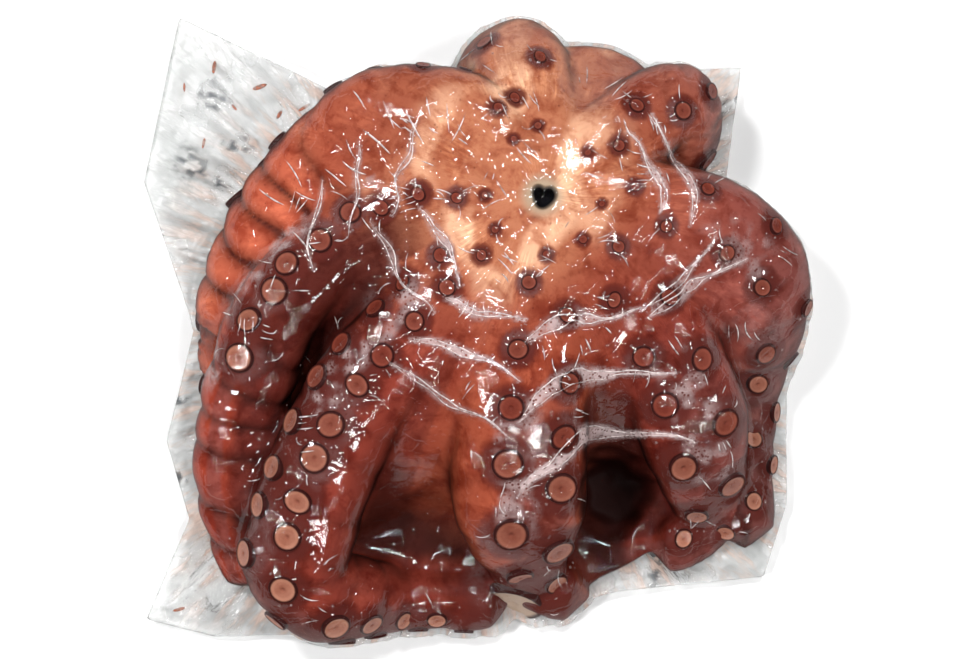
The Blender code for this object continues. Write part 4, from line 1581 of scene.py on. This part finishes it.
# Corners of the bag's free edge, in millimetres; where the octopus reaches further than the
# straight edge between two of them, the margin follows the octopus.
BAG_CORNERS = (
    (-120, 124), (-134, 58), (-114, 0), (-125, -45), (-116, -76), (-133, -116),
    (-106, -123), (0, -120), (54, -105), (113, -99), (122, -70), (122, -22), (133, 12),
    (98, 60), (104, 104), (70, 102), (-60, 95),
)
MARGIN_LEAST = 2 * MM       # the margin's least width
MARGIN_INSET = 9 * MM       # how far the margin reaches in under the arms
MARGIN_SEAM = 10 * MM       # height at which the films meet beside the octopus
MARGIN_FREE = 5 * MM        # height of the free edge
MARGIN_SHEET = 0.25 * MM
PLEAT_DEPTH = 3 * MM        # height of the pleats that run out from the octopus
PLEAT_RADIUS = 150 * MM     # distance from the middle at which their spacing is set
PLEAT_SIZE = (9 * MM, 24)                       # their spacing and seed
MARGIN_SWELL = (1.4 * MM, 17 * MM, 21)          # height, size and seed of its waves
# Sharp wrinkles: height, size, seed, and the share of the height that they add everywhere.
MARGIN_WRINKLES = ((1.2 * MM, 11 * MM, 22, 0.6), (0.5 * MM, 5 * MM, 23, 0.5))
MARGIN_LOWEST = 0.6 * MM    # height that it never falls under
STREAK_COUNT = 12           # more is finer streaks
STREAK_LENGTH = 40 * MM
PARALLEL = 1e-9             # an edge that points straight at the middle


def corner_reach(corners, turn):
    """How far the straight edges between corners lie from the middle, in a direction."""
    heading = np.array((math.cos(turn), math.sin(turn)))
    reach = 0.0
    for start, stop in zip(corners, corners[1:] + corners[:1]):
        start = np.array(start) * MM
        edge = np.array(stop) * MM - start
        facing = heading[0] * edge[1] - heading[1] * edge[0]
        if abs(facing) < PARALLEL:
            continue
        distance = (start[0] * edge[1] - start[1] * edge[0]) / facing
        share = (start[0] * heading[1] - start[1] * heading[0]) / facing
        if 0.0 <= share <= 1.0 and distance > 0.0:
            reach = max(reach, distance)
    return reach


def outline_reach(points, columns):
    """How far points reach from the middle, in every direction."""
    turn = np.arctan2(points[:, 1], points[:, 0]) % math.tau
    distance = np.hypot(points[:, 0], points[:, 1])
    column = (turn / math.tau * columns).astype(int) % columns
    reach = np.zeros(columns)
    np.maximum.at(reach, column, distance)
    return np.maximum.reduce([reach, np.roll(reach, 1), np.roll(reach, -1)])


# Places where painted shade darkens the crumpled film: across, up and width, in millimetres.
SHADED_CRUMPLES = (
    (-106, 93, 8), (-115, 67, 9), (-97, 73, 8), (-121, -62, 6), (-120, -30, 4),
    (-105, 60, 5), (104, 92, 5), (-125, -108, 6), (70, -98, 5),
)


class OCTOPUS_OT_margin(bpy.types.Operator):
    """Lay out the free margin of the bag"""
    bl_idname = "octopus.margin"
    bl_label = "Bag margin"

    def execute(self, context):
        film = mesh_points(bpy.data.objects["tight_film"].data)
        reach = outline_reach(film, MARGIN_COLUMNS)
        turn = np.arange(MARGIN_COLUMNS) * math.tau / MARGIN_COLUMNS
        edge = np.array([corner_reach(BAG_CORNERS, heading) for heading in turn])
        ring = np.column_stack([np.cos(turn), np.sin(turn), np.zeros(MARGIN_COLUMNS)])
        pleats = unevenness(PLEAT_RADIUS * ring, *PLEAT_SIZE)
        mesh = bmesh.new()
        rows = []
        for row in range(MARGIN_ROWS + 1):
            out = row / MARGIN_ROWS
            inner = reach - MARGIN_INSET
            outer = np.maximum(edge, reach + MARGIN_LEAST)
            distance = inner + (outer - inner) * out
            flat = np.column_stack([distance * np.cos(turn), distance * np.sin(turn),
                                    np.zeros(MARGIN_COLUMNS)])
            height = MARGIN_SEAM + (MARGIN_FREE - MARGIN_SEAM) * out ** 0.8
            swell, size, seed = MARGIN_SWELL
            height = height + swell * out * unevenness(flat, size, seed)
            height += PLEAT_DEPTH * math.sin(math.pi * out) * (0.4 - np.abs(pleats))
            for rise, size, seed, mean in MARGIN_WRINKLES:
                height += rise * (mean - np.abs(unevenness(flat, size, seed)))
            flat[:, 2] = np.maximum(height, MARGIN_LOWEST)
            rows.append([mesh.verts.new(point) for point in flat])
        for row, after in zip(rows, rows[1:]):
            add_band(mesh, row, after)
        made = mesh_object("bag_margin_film", mesh)
        sheet = made.modifiers.new("sheet", "SOLIDIFY")
        sheet.thickness = MARGIN_SHEET
        apply_modifiers(made)
        points = mesh_points(made.data)
        dark = np.zeros(len(points))
        for x, y, wide in SHADED_CRUMPLES:
            away = np.hypot(points[:, 0] - x * MM, points[:, 1] - y * MM)
            away = away + 3 * MM * unevenness(points, 6 * MM, 25)
            dark = np.maximum(dark, 1 - smooth_share(0.3, 1.0, away / (wide * MM)))
        # Painted shade on the crumpled film round the listed places.
        store(made.data, "dark", 0.9 * dark * smooth_share(
            -0.1, 0.4, unevenness(points, 2.5 * MM, 26)))
        heading = np.arctan2(points[:, 1], points[:, 0])
        away = np.hypot(points[:, 0], points[:, 1])
        column = (heading % math.tau / math.tau * MARGIN_COLUMNS).astype(int) % MARGIN_COLUMNS
        store(made.data, "near", 1 - smooth_share(2 * MM, 30 * MM, away - reach[column]))
        store_vectors(made.data, "drawn", streak_places(
            heading, away, STREAK_COUNT, STREAK_LENGTH))
        finish_piece(made, "bag_margin", margin_material())
        return {"FINISHED"}


# ---------------------------------------------------------------- juice in the bag
# Smears of juice in the loose corners: place, direction in degrees, length, width, all mm.
SMEARS = (
    (-106, 104, 75, 6, 1.6), (-88, 96, 20, 7, 1.8), (-80, 85, 60, 4, 1.4),
    (-110, 74, 80, 5, 1.2), (-98, 88, 130, 3, 1.0), (-118, 96, 85, 4, 1.0),
    (-70, 88, 40, 6, 1.4), (-120, -112, 15, 5, 1.4),
)
SMEAR_HEIGHT = 0.35 * MM


class OCTOPUS_OT_juice(bpy.types.Operator):
    """Lay the smears of juice in the loose corners of the bag"""
    bl_idname = "octopus.juice"
    bl_label = "Juice"

    def execute(self, context):
        film = surface_of(bpy.data.objects["bag_margin_film"])
        places = []
        normals = []
        spins = []
        sizes = []
        for x, y, turn, length, width in SMEARS:
            place, normal = dropped(film, x * MM, y * MM)
            if place is None:
                raise RuntimeError("a smear lies outside the bag")
            places.append(place)
            normals.append(normal)
            spins.append((*direction_of(math.radians(turn)), 0.0))
            sizes.append((length * MM / 2, width * MM / 2, SMEAR_HEIGHT))
        made = cloud_object("juice_smears", places, {
            "outward": normals, "spin": spins, "stretch": sizes})
        form = ball_form("smear_form", 3)
        recipe = Recipe("juice")
        mottle = recipe.noise(2.5 * MM, 3.0, 0.6)
        colour = recipe.mix(mottle, (0.22, 0.045, 0.025), (0.45, 0.16, 0.09))
        wet = recipe.node("ShaderNodeBsdfPrincipled", {
            "Base Color": colour, "Roughness": 0.25, "Specular IOR Level": 0.4})
        clear = recipe.node("ShaderNodeBsdfTransparent", {"Color": (0.95, 0.80, 0.74, 1.0)})
        thin = recipe.between(mottle, 0.35, 0.62, 0.15, 0.80)
        material = recipe.surface(recipe.blend(thin, clear.outputs[0], wet.outputs[0]))
        run_nodes(made, scatter_tree("lay_juice", material), {"Form": form})
        bpy.data.objects.remove(form)
        finish_piece(made, "bag_margin")
        return {"FINISHED"}


# ---------------------------------------------------------------- stage
CAMERA_HEIGHT = 1.91        # above the floor, looking straight down
CAMERA_PLACE = (1.5 * MM, -0.5 * MM)
CAMERA_FIELD = 387 * MM     # width of the view at the floor
CAMERA_CLIP = (0.05, 20.0)
SENSOR = 36.0               # width of the camera's sensor, in its own millimetres
# Soft boxes: direction round the pack in degrees, elevation, width, power in watts.
SOFT_BOXES = (
    (135.0, 60.0, 0.20, 11.0), (200.0, 50.0, 0.16, 7.5),
    (60.0, 58.0, 0.18, 8.0), (350.0, 55.0, 0.16, 6.0), (285.0, 55.0, 0.16, 5.0),
)
SOFT_BOX_DISTANCE = 1.4
ZENITH = 0.03               # brightness of the surroundings overhead
HORIZON = 0.10              # and low down
FLOOR_RADIUS = 3.0
FLOOR_SEGMENTS = 96
FLOOR_DEPTH = 0.3 * MM      # how far the floor lies under the pack


def soft_box(number, turn, elevation, width, power):
    """An area light aimed at the middle of the pack."""
    lamp = bpy.data.lights.new(f"soft_box_{number}", "AREA")
    lamp.shape = "SQUARE"
    lamp.size = width
    lamp.energy = power
    made = bpy.data.objects.new(lamp.name, lamp)
    bpy.context.scene.collection.objects.link(made)
    turn = math.radians(turn)
    rise = math.radians(elevation)
    away = Vector((math.cos(turn) * math.cos(rise), math.sin(turn) * math.cos(rise),
                   math.sin(rise)))
    made.location = away * SOFT_BOX_DISTANCE
    made.rotation_euler = away.to_track_quat("Z", "Y").to_euler()


def studio_world():
    """Even surroundings, brighter towards the horizon than overhead."""
    world = bpy.data.worlds.new("studio")
    bpy.context.scene.world = world
    world.use_nodes = True
    tree = world.node_tree
    tree.nodes.clear()
    place = add_node(tree, "ShaderNodeTexCoord")
    split = add_node(tree, "ShaderNodeSeparateXYZ", {0: place.outputs["Generated"]})
    level = add_node(tree, "ShaderNodeMapRange", {
        "Value": split.outputs["Z"], "From Min": 0.25, "From Max": 0.95,
        "To Min": HORIZON, "To Max": ZENITH})
    light = add_node(tree, "ShaderNodeBackground", {
        "Color": (1.0, 1.0, 1.0, 1.0), "Strength": level.outputs["Result"]})
    add_node(tree, "ShaderNodeOutputWorld", {"Surface": light.outputs[0]})


class OCTOPUS_OT_stage(bpy.types.Operator):
    """Set up the floor, the lights and the camera"""
    bl_idname = "octopus.stage"
    bl_label = "Stage"

    def execute(self, context):
        mesh = bmesh.new()
        bmesh.ops.create_circle(mesh, cap_ends=True, segments=FLOOR_SEGMENTS,
                                radius=FLOOR_RADIUS,
                                matrix=Matrix.Translation((0.0, 0.0, -FLOOR_DEPTH)))
        floor = mesh_object("floor", mesh)
        recipe = Recipe("pale_floor")
        shader = recipe.node("ShaderNodeBsdfPrincipled", {
            "Base Color": (0.93, 0.93, 0.93, 1.0), "Roughness": 0.9,
            "Specular IOR Level": 0.0})
        floor.data.materials.append(recipe.surface(shader.outputs[0]))
        studio_world()
        for number, box in enumerate(SOFT_BOXES):
            soft_box(number, *box)
        lens = bpy.data.cameras.new("camera")
        lens.type = "PERSP"
        lens.sensor_width = SENSOR
        lens.lens = SENSOR * CAMERA_HEIGHT / CAMERA_FIELD
        lens.clip_start, lens.clip_end = CAMERA_CLIP
        camera = bpy.data.objects.new("camera", lens)
        camera.location = (*CAMERA_PLACE, CAMERA_HEIGHT)
        context.scene.collection.objects.link(camera)
        context.scene.camera = camera
        context.scene.view_settings.view_transform = "Standard"
        return {"FINISHED"}


# ---------------------------------------------------------------- add-on
class OCTOPUS_PT_pack(bpy.types.Panel):
    """Sizes of the pack and the steps that build it"""
    bl_idname = "OCTOPUS_PT_pack"
    bl_label = "Octopus pack"
    bl_space_type = "VIEW_3D"
    bl_region_type = "UI"
    bl_category = "Octopus"

    def draw(self, context):
        layout = self.layout
        layout.prop(context.scene.octopus_flesh, "voxel")
        for operator in OPERATORS:
            layout.operator(operator.bl_idname)


GROUPS = {"octopus_flesh": OctopusFlesh}
OPERATORS = (OCTOPUS_OT_flesh, OCTOPUS_OT_suckers, OCTOPUS_OT_film, OCTOPUS_OT_creases,
             OCTOPUS_OT_froth, OCTOPUS_OT_margin, OCTOPUS_OT_juice, OCTOPUS_OT_stage)
CLASSES = (*GROUPS.values(), *OPERATORS, OCTOPUS_PT_pack)


def register():
    """Makes the operators, the panel and the sizes known."""
    for kind in CLASSES:
        bpy.utils.register_class(kind)
    for name, group in GROUPS.items():
        setattr(bpy.types.Scene, name, bpy.props.PointerProperty(type=group))


def unregister():
    """Takes them away again."""
    for name in GROUPS:
        delattr(bpy.types.Scene, name)
    for kind in reversed(CLASSES):
        bpy.utils.unregister_class(kind)


def main():
    """Builds every piece and the stage, in order."""
    register()
    for operator in OPERATORS:
        name = operator.bl_idname.split(".")[1]
        getattr(bpy.ops.octopus, name)()


if __name__ == "__main__":
    main()
